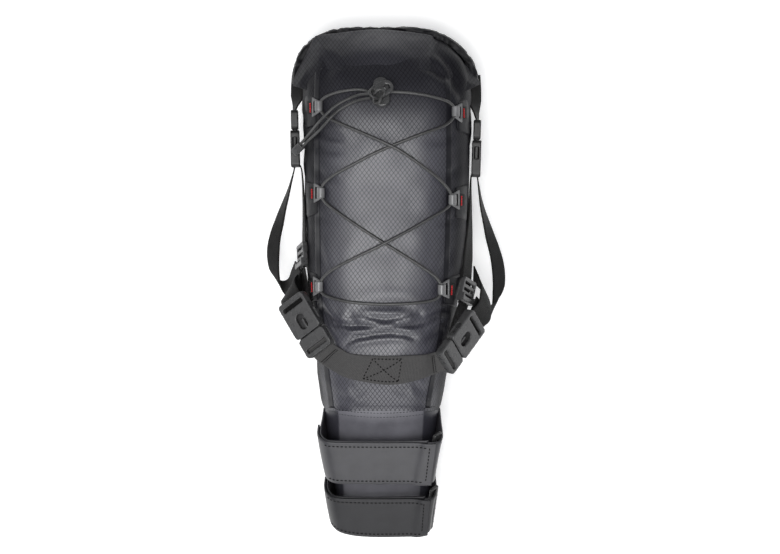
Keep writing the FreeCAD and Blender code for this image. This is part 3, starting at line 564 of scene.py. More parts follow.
def build_bag():
    """The bag's fabric behind the nose seam and the nose's in front of it, one closed piece each."""
    rows = np.concatenate([np.linspace(-252.8, -230, 10), np.linspace(-227.5, 232, 190),
                           np.linspace(233.5, 246.8, 10)])
    points, normals, weave = [], [], []
    for y in rows:
        ring, outs, centre_x = hull_ring(y)
        points += ring
        normals += outs
        weave += ring_weave(ring, y, centre_x)
    points = np.array(points)
    out = grid_normals(points, normals)
    points = points + out * fabric_lift(points, out)[:, None] * MM
    points[:, 2] = np.maximum(points[:, 2], 0)
    weave = np.array(weave)
    pieces = (("bag_fabric", NOSE_SEAM, rows[-1], "ripstop", "shell_fabric", "bag_shell"),
              ("nose_fabric", rows[0], NOSE_SEAM, "nose", "nose_fabric", "nose_panel"))
    for name, low, high, material, slot, node in pieces:
        chosen = [i for i, y in enumerate(rows) if low - 2.6 <= y <= high + 0.01]
        first, count = chosen[0], len(chosen)
        part = points[first * COLUMNS:(first + count) * COLUMNS]
        values = weave[first * COLUMNS:(first + count) * COLUMNS].copy()
        if name == "nose_fabric":
            reach = 46 + (values[:, 1] - NOSE_SEAM) * 0.06
            values[:, 2] = np.clip((reach - np.abs(values[:, 0] + 1)) / 1.2, 0, 1)
        listed, extra = list(part), list(values)
        faces = grid_faces(count, COLUMNS, True)
        end, sign_y = (count - 1, 1) if name == "bag_fabric" else (0, -1)
        close_end(listed, extra, faces, part, values, end, sign_y)
        data = mesh_of(name, listed, faces, M[material])
        store(data, "weave", extra)
        fix_normals(add_object(name, data, "bag", (node,)))


def fix_normals(made):
    """Makes a closed mesh's faces all turn outwards."""
    work = bmesh.new()
    work.from_mesh(made.data)
    bmesh.ops.recalc_face_normals(work, faces=work.faces)
    work.to_mesh(made.data)
    work.free()


build_bag()
fabric = tree_of(bpy.data.objects["bag_fabric"].data, bpy.data.objects["nose_fabric"].data)


def on_fabric(x, y, lift):
    """A point lift above the sculpted fabric, and the smooth direction out of it."""
    spot, _ = top_of(fabric, x, y)
    _, out = above(x, y, 0)
    if spot is None:
        spot = above(x, y, 0)[0]
    return spot + out * lift * MM, out


# ------------------------------------------------------------------ strips, stitches and tapes


def smooth_line(points, count):
    """Evenly spaced points on the Catmull-Rom curve through a few points."""
    p = [Vector(q) for q in points]
    p = [p[0] * 2 - p[1]] + p + [p[-1] * 2 - p[-2]]
    fine = []
    for i in range(1, len(p) - 2):
        for k in range(24):
            t = k / 24
            a, b, c, d = p[i - 1], p[i], p[i + 1], p[i + 2]
            fine.append(0.5 * (2 * b + (c - a) * t + (2 * a - 5 * b + 4 * c - d) * t * t
                               + (3 * b - a - 3 * c + d) * t**3))
    fine.append(p[-2])
    runs = [0.0]
    for a, b in zip(fine, fine[1:]):
        runs.append(runs[-1] + (b - a).length)
    result = []
    k = 0
    for i in range(count):
        goal = runs[-1] * i / (count - 1)
        while k < len(runs) - 2 and runs[k + 1] < goal:
            k += 1
        span = runs[k + 1] - runs[k]
        result.append(fine[k].lerp(fine[k + 1], (goal - runs[k]) / span if span else 0))
    return result


def tape_mesh(name, first_edge, second_edge, thickness, material, bow=0.0, steps=8):
    """A woven tape between two edge lines (metres), with rounded edges and closed ends."""
    rows = len(first_edge)
    half = thickness * MM / 2
    section = []  # (share across, height in half thicknesses)
    for j in range(steps + 1):
        section.append((j / steps, 1.0))
    section += [(1.012, 0.5), (1.012, -0.5)]
    for j in range(steps, -1, -1):
        section.append((j / steps, -1.0))
    section += [(-0.012, -0.5), (-0.012, 0.5)]
    columns = len(section)
    points, tape = [], []
    run = 0.0
    for i in range(rows):
        a, b = first_edge[i], second_edge[i]
        before, after = max(i - 1, 0), min(i + 1, rows - 1)
        along = (first_edge[after] + second_edge[after] - first_edge[before] - second_edge[before])
        across = b - a
        width = across.length / MM
        out = along.cross(across).normalized()
        if i:
            run += ((a + b) / 2 - (first_edge[i - 1] + second_edge[i - 1]) / 2).length / MM
        for share, level in section:
            crown = bow * MM * (1 - (2 * share - 1) ** 2)
            points.append(a + across * share + out * (half * level + crown))
            tape.append((run, share * width, level))
    faces = grid_faces(rows, columns, True)
    faces.append(tuple(range(columns - 1, -1, -1)))
    faces.append(tuple(range((rows - 1) * columns, rows * columns)))
    data = mesh_of(name, points, faces, material)
    store(data, "tape", tape)
    return data


def strap_edges(path, facing, width, count):
    """The two edges of a strap along a path, turned as facing says; path in millimetres."""
    centre = smooth_line([Vector(p) * MM for p in path], count)
    first, second = [], []
    for i, point in enumerate(centre):
        share = i / (count - 1) * (len(facing) - 1)
        before = min(int(share), len(facing) - 2)
        across = Vector(facing[before]).lerp(Vector(facing[before + 1]), share - before).normalized()
        first.append(point - across * width * MM / 2)
        second.append(point + across * width * MM / 2)
    return first, second


def stitches(name, lines, material, long=2.6, gap=1.3, radius=0.32, body="bag"):
    """Rows of sewn stitches; each line is a list of points in metres."""
    points, faces = [], []
    for line in lines:
        runs = [0.0]
        for a, b in zip(line, line[1:]):
            runs.append(runs[-1] + (b - a).length)
        at = 0.0

        def where(s, runs=runs, line=line):
            for k in range(len(line) - 1):
                if runs[k + 1] >= s:
                    span = runs[k + 1] - runs[k]
                    return line[k].lerp(line[k + 1], (s - runs[k]) / span if span else 0)
            return line[-1]

        while at + long * MM <= runs[-1] + 1e-9:
            a, b = where(at), where(at + long * MM)
            way = (b - a).normalized()
            side = way.cross(UP)
            side = side.normalized() if side.length > 0.1 else Vector((1, 0, 0))
            out = side.cross(way)
            base = len(points)
            for share, size in ((0.0, 0.35), (0.18, 0.9), (0.82, 0.9), (1.0, 0.35)):
                centre = a.lerp(b, share) + out * (0 if 0.1 < share < 0.9 else -radius * 0.6 * MM)
                for k in range(6):
                    turn = k / 6 * 2 * math.pi
                    round_it = side * math.cos(turn) + out * math.sin(turn)
                    points.append(centre + round_it * radius * size * MM)
            for ring in range(3):
                for k in range(6):
                    n = (k + 1) % 6
                    faces.append((base + ring * 6 + k, base + ring * 6 + n,
                                  base + ring * 6 + 6 + n, base + ring * 6 + 6 + k))
            faces.append(tuple(base + k for k in range(5, -1, -1)))
            faces.append(tuple(base + 18 + k for k in range(6)))
            at += (long + gap) * MM
    data = mesh_of(name, points, faces, material)
    return add_object(name, data, body)


def tape_point(first, second, share, across, lift):
    """A point on a tape: share along it, across it from 0 to 1, and lift above its middle."""
    last = len(first) - 1
    spot = min(max(share, 0.0), 1.0) * last
    k = min(int(spot), last - 1)
    a = first[k].lerp(first[k + 1], spot - k)
    b = second[k].lerp(second[k + 1], spot - k)
    along = first[k + 1] + second[k + 1] - first[k] - second[k]
    out = along.cross(b - a).normalized()
    return a.lerp(b, across) + out * lift * MM


RINGS = {}


def section_line(y):
    """The upper part of the bag's section at y: points, and distances from the middle of the top."""
    key = round(y * 2) / 2
    if key not in RINGS:
        centre = Vector((0, key * MM, middle_height(key)))
        line = []
        for k in range(241):
            angle = math.radians(-60 + k * 1.25)
            way = Vector((-math.cos(angle), 0, math.sin(angle)))
            line.append(hull.ray_cast(centre + way * WIDE, -way)[0])
        lengths = [0.0]
        for a, b in zip(line, line[1:]):
            lengths.append(lengths[-1] + (b - a).length / MM)
        nearest = min(range(len(line)), key=lambda k: abs(line[k].x))
        RINGS[key] = (line, [value - lengths[nearest] for value in lengths])
    return RINGS[key]


def at_arc(y, arc, lift):
    """A point on the bag's section at y, arc millimetres round from the middle, and its way out."""
    line, lengths = section_line(y)
    k = int(np.searchsorted(lengths, arc)) - 1
    k = min(max(k, 1), len(line) - 3)
    share = (arc - lengths[k]) / (lengths[k + 1] - lengths[k])
    spot = line[k].lerp(line[k + 1], share)
    way = (line[k + 2] - line[k - 1]).normalized()
    before, after = section_line(y - 1.5)[0][k], section_line(y + 1.5)[0][k]
    out = way.cross(after - before).normalized()
    if out.z < 0 and abs(out.x) < 0.5:
        out = -out
    if out.x * spot.x < 0 and abs(out.z) < 0.5:
        out = -out
    spot = Vector((spot.x, y * MM, spot.z))
    return spot + out * lift * MM, out


def arc_of(x, y):
    """How far round its section a place in plan lies."""
    line, lengths = section_line(y)
    xs = [p.x / MM for p in line]
    top = [k for k in range(len(xs)) if line[k].z > line[0].z and -1.02 * abs(min(xs)) <= xs[k]]
    best = min((k for k in top if 40 <= k <= 200), key=lambda k: abs(xs[k] - x))
    other = best + (1 if xs[best] < x else -1)
    share = (x - xs[best]) / (xs[other] - xs[best]) if xs[other] != xs[best] else 0
    return lengths[best] + share * (lengths[other] - lengths[best])


def patch(name, low, high, inner, outer, hand):
    """A thin rounded film patch on the bag's shoulder, between two distances round the section."""
    across, along = 22, 26
    lift, thick, flare, corner = 0.1, 0.9, 4, 4.0
    points, weave = [], []
    for level in (1, 0):
        for i in range(across + 1):
            u = i / across
            arc = inner + (outer - inner) * u
            near_end = min(u, 1 - u) * abs(outer - inner)
            cut = corner - math.sqrt(max(corner**2 - (corner - min(near_end, corner)) ** 2, 0))
            for j in range(along + 1):
                v = j / along
                y = low - flare * u + cut + (high - low + 2 * flare * u - 2 * cut) * v
                rim = min(min(u, 1 - u) * abs(outer - inner), min(v, 1 - v) * (high - low))
                dome = min(rim / 1.2, 1) ** 0.5
                height = lift + (thick * dome if level else -0.6)
                points.append(at_arc(y, hand * arc, height)[0])
                weave.append((arc, y, 0))
    faces = grid_faces(across + 1, along + 1)
    base = (across + 1) * (along + 1)
    faces += [tuple(base + i for i in reversed(f)) for f in faces]
    border = list(range(along))
    border += [i * (along + 1) + along for i in range(across)]
    border += [across * (along + 1) + along - j for j in range(along)]
    border += [(across - i) * (along + 1) for i in range(across)]
    for k, a in enumerate(border):
        b = border[(k + 1) % len(border)]
        faces.append((a, b, base + b, base + a))
    data = mesh_of(name, points, faces, M["film"])
    store(data, "tape", weave)
    fix_normals(add_object(name, data, "bag", ("hook_patches",)))


# welded seam tapes along the top panel
SEAMS = {
    "seam_left": [(-66.5, 215), (-68.5, 204), (-69, 150), (-68.5, 80), (-67, 0), (-62.5, -60),
                  (-56, -115), (-54.5, -127)],
    "seam_right": [(61.5, 214), (62.5, 203), (63.5, 150), (63, 80), (60.5, 0), (54.5, -60),
                   (44.5, -112), (42.8, -127)],
}
for name, seam in SEAMS.items():
    line = smooth_line([(x, y, 0) for x, y in seam], 170)
    edges = [[on_fabric(p.x + side, p.y, 0.16)[0] for p in line] for side in (-2.6, 2.6)]
    data = tape_mesh(name, edges[0], edges[1], 0.24, M["seam_tape"], steps=4)
    add_object(name, data, "bag")

# the nose panel's stitched seam
seam_line = []
for k in range(61):
    x = -59 + k * 1.85
    y = NOSE_SEAM - 6 + 4.5 * min(1, ((x + 4) / 52) ** 2) + (1.5 if abs(x + 6) > 46 else 0)
    if top_of(fabric, x, y)[0] is not None:
        seam_line.append((x, y))
nose_rows = (("nose_seam_rear", 1.9, "black_thread"), ("nose_seam_front", -2.4, "grey_thread"))
for name, shift, material in nose_rows:
    line = [on_fabric(x * 0.97, y + shift, 0.12)[0] for x, y in seam_line]
    stitches(name, [line], M[material], 2.2, 1.1, 0.26)

# ------------------------------------------------------------------ webbing

# The strap across the bag: its edges in plan, with a height where it leaves the fabric.
BOX_REAR = [
    (-60.5, -53.9, 141.8), (-58.7, -56.8, 142.5), (-52, -62.5, 140.5), (-43, -67.5, None), (-33, -72, None),
    (-5, -74, None), (34, -73, None), (48, -70.5, None), (57.2, -69, 144.4), (59.1, -66.5, 142.9),
]
BOX_FRONT = [
    (-77.9, -66.9, 130.4), (-76.1, -69.8, 131.1), (-67.5, -79.5, 122), (-52, -88.5, None), (-36, -96, None),
    (0, -102, None), (26, -99, None), (48, -92, None), (67.1, -85.8, 128.8), (69, -83.3, 127.3),
]


def web_line(points, lift, count):
    """One edge of the strap across the bag, kept above the fabric between its ends."""
    line = []
    for x, y, z in points:
        line.append(Vector((x, y, z)) * MM if z is not None else on_fabric(x, y, lift)[0])
    made = smooth_line(line, count)
    for p in made[1:-1]:
        spot = top_of(fabric, p.x / MM, p.y / MM)[0]
        if spot is not None:
            p.z = max(p.z, spot.z + lift * MM)
    return made


box_edges = (web_line(BOX_FRONT, 1.3, 90), web_line(BOX_REAR, 1.3, 90))
data = tape_mesh("box_webbing", box_edges[0], box_edges[1], 1.6, M["wide_tape"], steps=14)
add_object("box_webbing", data, "bag", ("box_strap",))


def dashed(start, stop, count=24):
    """A row of stitches on the strap, between two places given as shares along and across it."""
    line = []
    for k in range(count + 1):
        along = start[0] + (stop[0] - start[0]) * k / count
        across = start[1] + (stop[1] - start[1]) * k / count
        line.append(tape_point(box_edges[0], box_edges[1], along, across, 1.15))
    return line


corners = [(0.42, 0.1), (0.63, 0.1), (0.63, 0.9), (0.42, 0.9)]
rows = [dashed(corners[i], corners[(i + 1) % 4]) for i in range(4)]
rows += [dashed(corners[0], corners[2]), dashed(corners[1], corners[3])]
stitches("box_stitches", rows, M["black_thread"], 2.2, 1.5, 0.6)
tacks = [dashed((share, 0.06), (share, 0.94)) for share in (0.135, 0.15, 0.86, 0.875)]
stitches("box_tacks", tacks, M["black_thread"], 1.6, 0.4, 0.4)

UPRIGHT = (0, 0, 1)
SIDE = 20
RAIL = 25


def strap(name, node, body, width, path, facing, swept=None):
    """A strap along a path in millimetres; facing gives the directions across it.

    One that joins the bag to a buckle has swept, the points where it would stop following each of them;
    only whether it is given is read, and such a strap is left in its world place with no body."""
    first, second = strap_edges(path, facing, width, 14 * len(path))
    data = tape_mesh(name, first, second, 1.5, M["tape"], steps=8)
    if not swept:
        add_object(name, data, body, (node,))
        return
    made = add_object(name, data, None, (node,))
    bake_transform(made)


strap("roll_tab_web_left", "roll_tab_left", "roll_clip_left", SIDE,
      [(-92.4, 168, 78), (-92.2, 176, 78), (-90, 186, 74.5), (-88.5, 203, 71), (-88, 211, 69)],
      [UPRIGHT, (0.25, 0, 0.97), (0.65, 0, 0.76), (0.72, 0, 0.69), (0.72, 0, 0.69)],
      ((-88.5, 204, 70), (-92.2, 174, 78)))
strap("roll_tab_web_right", "roll_tab_right", "roll_clip_right", SIDE,
      [(93.2, 158, 78), (93, 166, 78), (90.8, 182, 74), (89.5, 203, 70), (89, 211, 68.5)],
      [UPRIGHT, (-0.25, 0, 0.97), (-0.65, 0, 0.76), (-0.72, 0, 0.69), (-0.72, 0, 0.69)],
      ((89.5, 204, 70), (93, 164, 78)))
strap("side_web_left", "side_strap_left", "bag", SIDE,
      [(-89, 121, 78), (-85, 112, 78), (-82.8, 75, 84), (-82.2, 38, 93), (-82, 26, 95), (-82.4, 15, 97)],
      [UPRIGHT, (0.08, 0, 1), (0.16, 0, 1), (0.2, 0, 1)])
strap("side_web_right", "side_strap_right", "bag", SIDE,
      [(90, 112, 78), (86.6, 104, 78), (85.6, 60, 86), (81.6, 2, 101), (80, -9, 103.5), (78.4, -21, 106.5)],
      [UPRIGHT, (-0.15, 0, 1), (-0.45, 0, 0.9), (-0.5, 0, 0.87)])
strap("anchor_web_left", "anchor_strap_left", "bag", SIDE,
      [(-83.6, 16, 97), (-80.8, -6, 103), (-77.6, -26, 110)],
      [(0.15, 0, 1), (0.3, 0, 1), (0.45, 0, 0.9)])
strap("anchor_web_right", "anchor_strap_right", "bag", SIDE,
      [(79.5, -20, 107), (73.2, -38, 112), (69.6, -50, 115)],
      [(-0.5, 0, 0.87)] * 3)
strap("tail_web_left", "side_strap_tail_left", "bag", SIDE,
      [(-92.2, 119, 78), (-93.4, 112, 77), (-99, 92, 68), (-107.5, 66, 56), (-114.5, 38, 46),
       (-114, 10, 43), (-106, -5, 50), (-97.5, -4, 64), (-92.5, 6, 80), (-88.5, 16, 93)],
      [(0, 0, 1), (0.1, 0, 1), (0.3, 0, 0.95), (0.55, 0.1, 0.8), (0.62, 0, 0.78), (0.5, -0.4, 0.75),
       (0.1, -0.7, 0.65), (0.2, -0.7, 0.6), (0.3, -0.5, 0.8)])
strap("tail_web_right", "side_strap_tail_right", "bag", SIDE,
      [(93, 110, 78), (94, 102, 77), (98, 78, 68), (106, 50, 56), (114, 22, 46), (116, -3, 46),
       (112, -23, 58), (104, -32, 76), (96, -30, 94), (89, -22, 103)],
      [(0, 0, 1), (-0.1, 0, 1), (-0.3, 0, 0.95), (-0.55, 0.1, 0.8), (-0.62, 0, 0.78), (-0.6, -0.3, 0.75),
       (-0.3, -0.7, 0.65), (-0.1, -0.8, 0.5), (-0.3, -0.7, 0.6)])
strap("rail_web_left", "rail_strap_left", "rail_clip_left", RAIL,
      [(-88.5, -27.9, 128.4), (-95.5, -16.5, 121.5), (-98, -9, 108), (-94, -5.5, 96), (-84.6, -3, 80)],
      [(0.7, 0.52, 0.45), (0.65, 0.6, 0.42), (0.5, 0.75, 0.35), (0.25, 0.93, 0.3), (0, 1, 0.1)],
      ((-84.6, -3, 80), (-95.5, -16.5, 121.5)))
strap("rail_web_right", "rail_strap_right", "rail_clip_right", RAIL,
      [(84.5, -47, 118.1), (93, -37, 110), (100.5, -28, 95), (100.5, -9, 80), (90, 8, 64)],
      [(0.36, -0.61, -0.56), (0.38, -0.66, -0.5), (0.4, -0.72, -0.4), (0.3, -0.6, -0.7), (0, -0.65, -0.75)],
      ((90, 8, 64), (93, -37, 110)))


# ------------------------------------------------------------------ seatpost straps

# A strap's rear edge crosses the bag at "along", and its face drops by "slope" degrees to the front.
# Each pair is for its rear and its front edge, in millimetres from the middle: "left" and "edge" are
# its left and right side, and its ring's bar is RING_BACK inside "right". "legs" is how far the sides
# reach down, "gap" how high the strap stands, and "round" how much its front corners are cut back.
POST_STRAPS = {
    "upper": {"along": -149, "slope": 33, "left": (65, 57.5), "right": (57, 50), "edge": (56, 48.5),
              "legs": -38, "gap": 20, "round": 0, "face": "post"},
    # the lower strap's face is the copy of the film painted darker as shade
    "lower": {"along": -203.5, "slope": 38, "left": (58.5, 53), "right": (54, 49), "edge": (50, 45),
              "legs": -30, "gap": 23, "round": 7, "face": "post_painted_shade"},
}
LEG_FLARE = (2.5, 6.5)
RING_BACK = 13
POST_WIDE = 50
POST_THICK = 2.2


def band_path(spec, end):
    """Across and up: from low on the left side over the front to the ring."""
    reach, stop = spec["left"][end], spec["right"][end] - RING_BACK - 1
    flare, rise = LEG_FLARE[end], spec["gap"]
    return [(-reach + 3.4 - flare * 0.2, spec["legs"]), (-reach + 1.8 - flare * 0.1, -20), (-reach, -4),
            (-reach, rise * 0.4), (-reach + 4.5, rise * 0.85), (-reach + 14, rise), (-12, rise + 1),
            (stop, rise)]


def flap_path(spec, end):
    """The outer layer, from the left side over the front and past the ring."""
    reach, ring, stop = spec["left"][end], spec["right"][end] - RING_BACK, spec["edge"][end]
    rise = spec["gap"]
    return [(-reach + 0.4, -8), (-reach, rise * 0.4), (-reach + 4.5, rise * 0.85), (-reach + 14, rise),
            (-12, rise + 1), (ring - 14, rise + 1), (ring - 3, rise + 3.1),
            (stop - (4.5, 2.5)[end], rise + 2.6)]


def tab_path(spec, end):
    """From low on the right side up to the ring."""
    reach, ring = spec["edge"][end], spec["right"][end] - RING_BACK
    flare, rise = LEG_FLARE[end], spec["gap"]
    return [(reach - 2.2 + flare * 0.3, spec["legs"]), (reach - 1 + flare * 0.2, -16), (reach + 0.6, 0),
            (reach + 0.8, rise * 0.6), (reach - 0.6, rise * 0.95), (reach - 3, rise + 1.6),
            (ring + 3, rise + 2.8), (ring - 1.2, rise + 2.8)]


def post_edges(spec, profile, offset, count=90):
    """The rear and front edge of one layer of a strap, moved outwards by offset."""
    slope = math.radians(spec["slope"])
    down = Vector((0, -math.cos(slope), -math.sin(slope)))
    out = Vector((0, -math.sin(slope), math.cos(slope)))
    foot = top_of(hull, 0, spec["along"])[0] / MM
    edges = []
    for end, run in enumerate((0, POST_WIDE)):
        middle = smooth_line([(x, 0, rise) for x, rise in profile(spec, end)], count)
        edge = []
        for i, point in enumerate(middle):
            way = (middle[min(i + 1, count - 1)] - middle[max(i - 1, 0)]).normalized()
            moved = point + Vector((-way.z, 0, way.x)) * offset
            shorter = spec["round"] * end * min(abs(moved.x) / spec["left"][1], 1) ** 3
            edge.append((foot + down * (run - shorter) + Vector((moved.x, 0, 0)) + out * moved.z) * MM)
        edges.append(edge)
    return edges


def post_layer(which, layer, profile, offset):
    """One layer of a strap; the outer one is left in its world place with no body, with its stitches."""
    spec = POST_STRAPS[which]
    edges = post_edges(spec, profile, offset)
    label = f"post_{layer}_{which}"
    data = tape_mesh(label, edges[0], edges[1], POST_THICK, M[spec["face"]], steps=16, bow=-0.5)
    fixed = None if layer == "flap" else "bag"
    made = add_object(label, data, fixed, (f"post_strap_{layer}_{which}",))
    if fixed:
        return

    def flap_at(share, across):
        crown = 0.5 * (1 - (2 * across - 1) ** 2)
        return tape_point(edges[0], edges[1], share, across, -(POST_THICK / 2 + 0.15 + crown))

    lines = [[flap_at(0.2 + 0.75 * k / 80, across) for k in range(81)] for across in (0.08, 0.92)]
    lines.append([flap_at(0.95, 0.08 + 0.84 * k / 30) for k in range(31)])
    sewn = stitches(f"post_stitches_{which}", lines, M["black_thread"], 2.8, 1.4, 0.65, None)
    for piece in (made, sewn):
        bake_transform(piece)


for which in POST_STRAPS:
    post_layer(which, "band", band_path, 0)
    post_layer(which, "flap", flap_path, POST_THICK + 0.6)
    post_layer(which, "tab", tab_path, 0.0)


# ------------------------------------------------------------------ rolled closure

ROLL_PATH = [
    (-90.5, 201), (-88.5, 217), (-79, 237), (-52, 252), (0, 254.5), (38, 253), (63, 244), (82.5, 226),
    (91, 203),
]
ROLL_HEIGHT = 68


def build_roll():
    """The rolled and crumpled closure: a flattened roll with its free edge on top."""
    count, around = 150, 40
    line = smooth_line([Vector((x, y, ROLL_HEIGHT)) * MM for x, y in ROLL_PATH], count)
    points = []
    for i, p in enumerate(line):
        way = (line[min(i + 1, count - 1)] - line[max(i - 1, 0)]).normalized()
        out = way.cross(UP)
        for k in range(around):
            turn = k / around * 2 * math.pi
            c, s = math.cos(turn), math.sin(turn)
            wide = 5.6 * math.copysign(abs(c) ** 0.6, c)
            tall = 13.0 * math.copysign(abs(s) ** 0.7, s)
            layer = 1.0 + 0.07 * math.sin(turn * 3 + 0.6)
            fold = 1 - 3 * abs(noise.noise(Vector((i * 0.11, c * 1.1, s * 1.4))))
            fine = 1 - 3 * abs(noise.noise(Vector((i * 0.27, c * 1.7, s * 2.2 + 7))))
            shift = 1.5 * fold + 0.8 * fine
            sideways, upwards = wide * layer - abs(shift) * c, tall * layer + shift * s
            points.append(p + out * sideways * MM + UP * upwards * MM)
    faces = grid_faces(count, around, True)
    faces.append(tuple(range(around - 1, -1, -1)))
    faces.append(tuple(range((count - 1) * around, count * around)))
    data = mesh_of("roll_fabric", points, faces, M["crumpled"])
    fix_normals(add_object("roll_fabric", data, "bag", ("roll_top",)))


build_roll()

# where the fabric leaves the bag's top, and where it ends over the roll
CREST_INNER = [
    (-80, 194), (-77, 204), (-66, 211), (-46, 213), (0, 214), (34, 213), (54, 210), (68, 203), (80, 192),
]
CREST_OUTER = [
    (-94, 199), (-91, 210), (-80, 232), (-72.5, 247), (-68, 250), (-48, 252.5), (-14, 256), (14, 254.5),
    (44, 250.5), (50, 246), (66, 234), (82, 219), (97, 201),
]


def build_crest():
    """The bag's fabric where it runs over the roll: from the bag's top to the roll's edge."""
    count, rows = 181, 26
    inner = smooth_line([(x, y, 0) for x, y in CREST_INNER], count)
    outer = smooth_line([(x, y, 0) for x, y in CREST_OUTER], count)
    points, weave = [], []
    for i, (f, c) in enumerate(zip(inner, outer)):
        side = abs(2 * i / (count - 1) - 1)
        x, spot = f.x, None
        while spot is None:
            spot = top_of(fabric, x, f.y)[0]
            x *= 0.985
        start = Vector((f.x * MM, f.y * MM, spot.z - 0.5 * MM))
        edge = Vector((c.x, c.y, 86 - 4 * side**3)) * MM
        for j in range(rows):
            t = min(j / (rows - 4), 1)
            over = max(j - (rows - 4), 0)
            p = start.lerp(edge, t)
            swell = math.sin(math.pi * t) ** 1.4
            p.z += swell * (8.5 - 5 * side) * MM
            at = Vector((p.x, p.y, 0)) / MM
            fold = 1 - 3 * abs(noise.noise(at * 0.045 + Vector((2, 5, 0))))
            fine = 1 - 3 * abs(noise.noise(at * 0.11))
            p.z += min(t * 2, 1) * (1.5 * fold + 0.4 * fine) * (0.5 + side) * MM
            p.z -= over * over * 1.1 * MM
            points.append(p)
            # the third value is the share of painted light: lit along the crest's middle, painted darker as
            # shade towards its ends
            weave.append((p.x / MM * 1.06, p.y / MM, 0.5 * (1 - side)))
    data = mesh_of("crest_fabric", points, grid_faces(count, rows), M["ripstop"])
    store(data, "weave", weave)
    made = add_object("crest_fabric", data, "bag", ("roll_top",))
    thick = made.modifiers.new("fabric_thickness", "SOLIDIFY")
    thick.thickness = 0.8 * MM
    thick.offset = 0


build_crest()


# ------------------------------------------------------------------ cords


GAP = 0.4
CORD = 3
LYING = GAP + CORD / 2 + 1
PATCH_LIFT = GAP + 0.8
HOOK_LIFT = PATCH_LIFT + 0.3
IN_HOOK = HOOK_LIFT + 4
TO_HOOK = 4.6
OVER = LYING + CORD - 0.6
LACING = [
    (34.5, 187.5, LYING), (52, 183.5, LYING), (62.5, 179.5, TO_HOOK), (66.8, 171.8, IN_HOOK),
    (66.4, 165.2, TO_HOOK), (59, 156.5, LYING), (42, 150.5, LYING), (19, 141.5, LYING),
    (-10, 129.5, LYING), (-34, 116.5, LYING), (-52, 106.5, LYING), (-60.5, 97.5, TO_HOOK),
    (-61.5, 89.5, IN_HOOK), (-60, 81.5, TO_HOOK), (-50.5, 72.5, LYING), (-30.7, 58, LYING),
    (-9, 43.5, LYING), (12, 30.5, LYING), (32, 17.8, LYING), (45.5, 8.3, LYING), (51.8, 0.8, TO_HOOK),
    (53.2, -7.2, IN_HOOK), (51.8, -15, TO_HOOK), (43, -19.5, LYING), (24, -21.8, LYING),
    (-8, -22.6, LYING), (-35, -20.4, LYING), (-52, -16.3, LYING), (-61, -11.5, TO_HOOK),
    (-62.8, -4.3, IN_HOOK), (-60.8, 3.6, TO_HOOK), (-52, 12.5, LYING), (-32, 23.5, LYING),
    (-12, 32.8, OVER), (7, 42.8, OVER), (27, 53.8, LYING), (47.5, 66, LYING), (61, 75, TO_HOOK),
    (63.8, 82.5, IN_HOOK), (62.3, 90.5, TO_HOOK), (54.5, 101.5, LYING), (38.5, 114.5, LYING),
    (14, 132, OVER), (-5, 141, OVER), (-31, 152.5, LYING), (-51, 161.5, LYING), (-60.7, 168.5, TO_HOOK),
    (-63.5, 176, IN_HOOK), (-60.8, 183.5, TO_HOOK), (-49, 189.2, LYING), (-33, 191.6, LYING),
    (-21, 191.4, 2.6),
]


def cord_curve(name, points, stands_for, resolution=10, closed=False):
    """The braided cord along a line of points, open or closed to a ring."""
    data = bpy.data.curves.new(name, "CURVE")
    data.dimensions = "3D"
    spline = data.splines.new("NURBS")
    spline.points.add(len(points) - 1)
    for target, p in zip(spline.points, points):
        target.co = (*p, 1)
    spline.order_u = 3
    spline.use_endpoint_u = not closed
    spline.use_cyclic_u = closed
    data.resolution_u = resolution
    data.bevel_depth = CORD / 2 * MM
    data.bevel_resolution = 4
    data.use_fill_caps = not closed
    data.materials.append(M["braid"])
    return add_object(name, data, "bag", (stands_for,))


def axes_at(origin, along, out):
    """A placement with local X along one direction, square to the way out."""
    x = (along - out * along.dot(out)).normalized()
    z = out.normalized()
    y = z.cross(x)
    made = Matrix((x, y, z)).transposed().to_4x4()
    made.translation = origin
    return made


lock_base, lock_out = above(-4, 188.5, GAP + 0.3)
lock_place = axes_at(lock_base, Vector((0.1, -1, 0)), lock_out)
TUNNEL_UP = 3.3
right_side = [lock_place @ (Vector((0, across, TUNNEL_UP)) * MM) for across in (1.2, 10)]
left_side = [lock_place @ (Vector((0, -across, TUNNEL_UP)) * MM) for across in (10, 1.2)]
route = right_side + [above(x, y, lift)[0] for x, y, lift in LACING] + left_side
cord_curve("lacing_cord", route, "bungee_cord")

TAIL_REAR = [
    (-0.0153, 0.1875, 0.1635), (-0.022, 0.1878, 0.157), (-0.03, 0.1862, 0.1505), (-0.04, 0.1823, 0.1473),
    (-0.049, 0.177, 0.1462), (-0.056, 0.171, 0.147), (-0.0625, 0.1645, 0.1445), (-0.069, 0.1575, 0.1365),
    (-0.075, 0.1505, 0.1265), (-0.0805, 0.1445, 0.1185), (-0.0856, 0.1392, 0.1135),
]
TAIL_FRONT = [
    (-0.015, 0.1835, 0.1632), (-0.022, 0.183, 0.1565), (-0.03, 0.181, 0.1508), (-0.0395, 0.1768, 0.148),
    (-0.048, 0.171, 0.1473), (-0.0545, 0.1648, 0.149), (-0.0605, 0.158, 0.1455), (-0.0665, 0.1515, 0.1375),
    (-0.073, 0.1462, 0.128), (-0.079, 0.1414, 0.1195), (-0.0834, 0.1364, 0.1136),
]
tail_rear = cord_curve("tail_rear", TAIL_REAR, "bungee_tail_rear")
tail_front = cord_curve("tail_front", TAIL_FRONT, "bungee_tail_front")


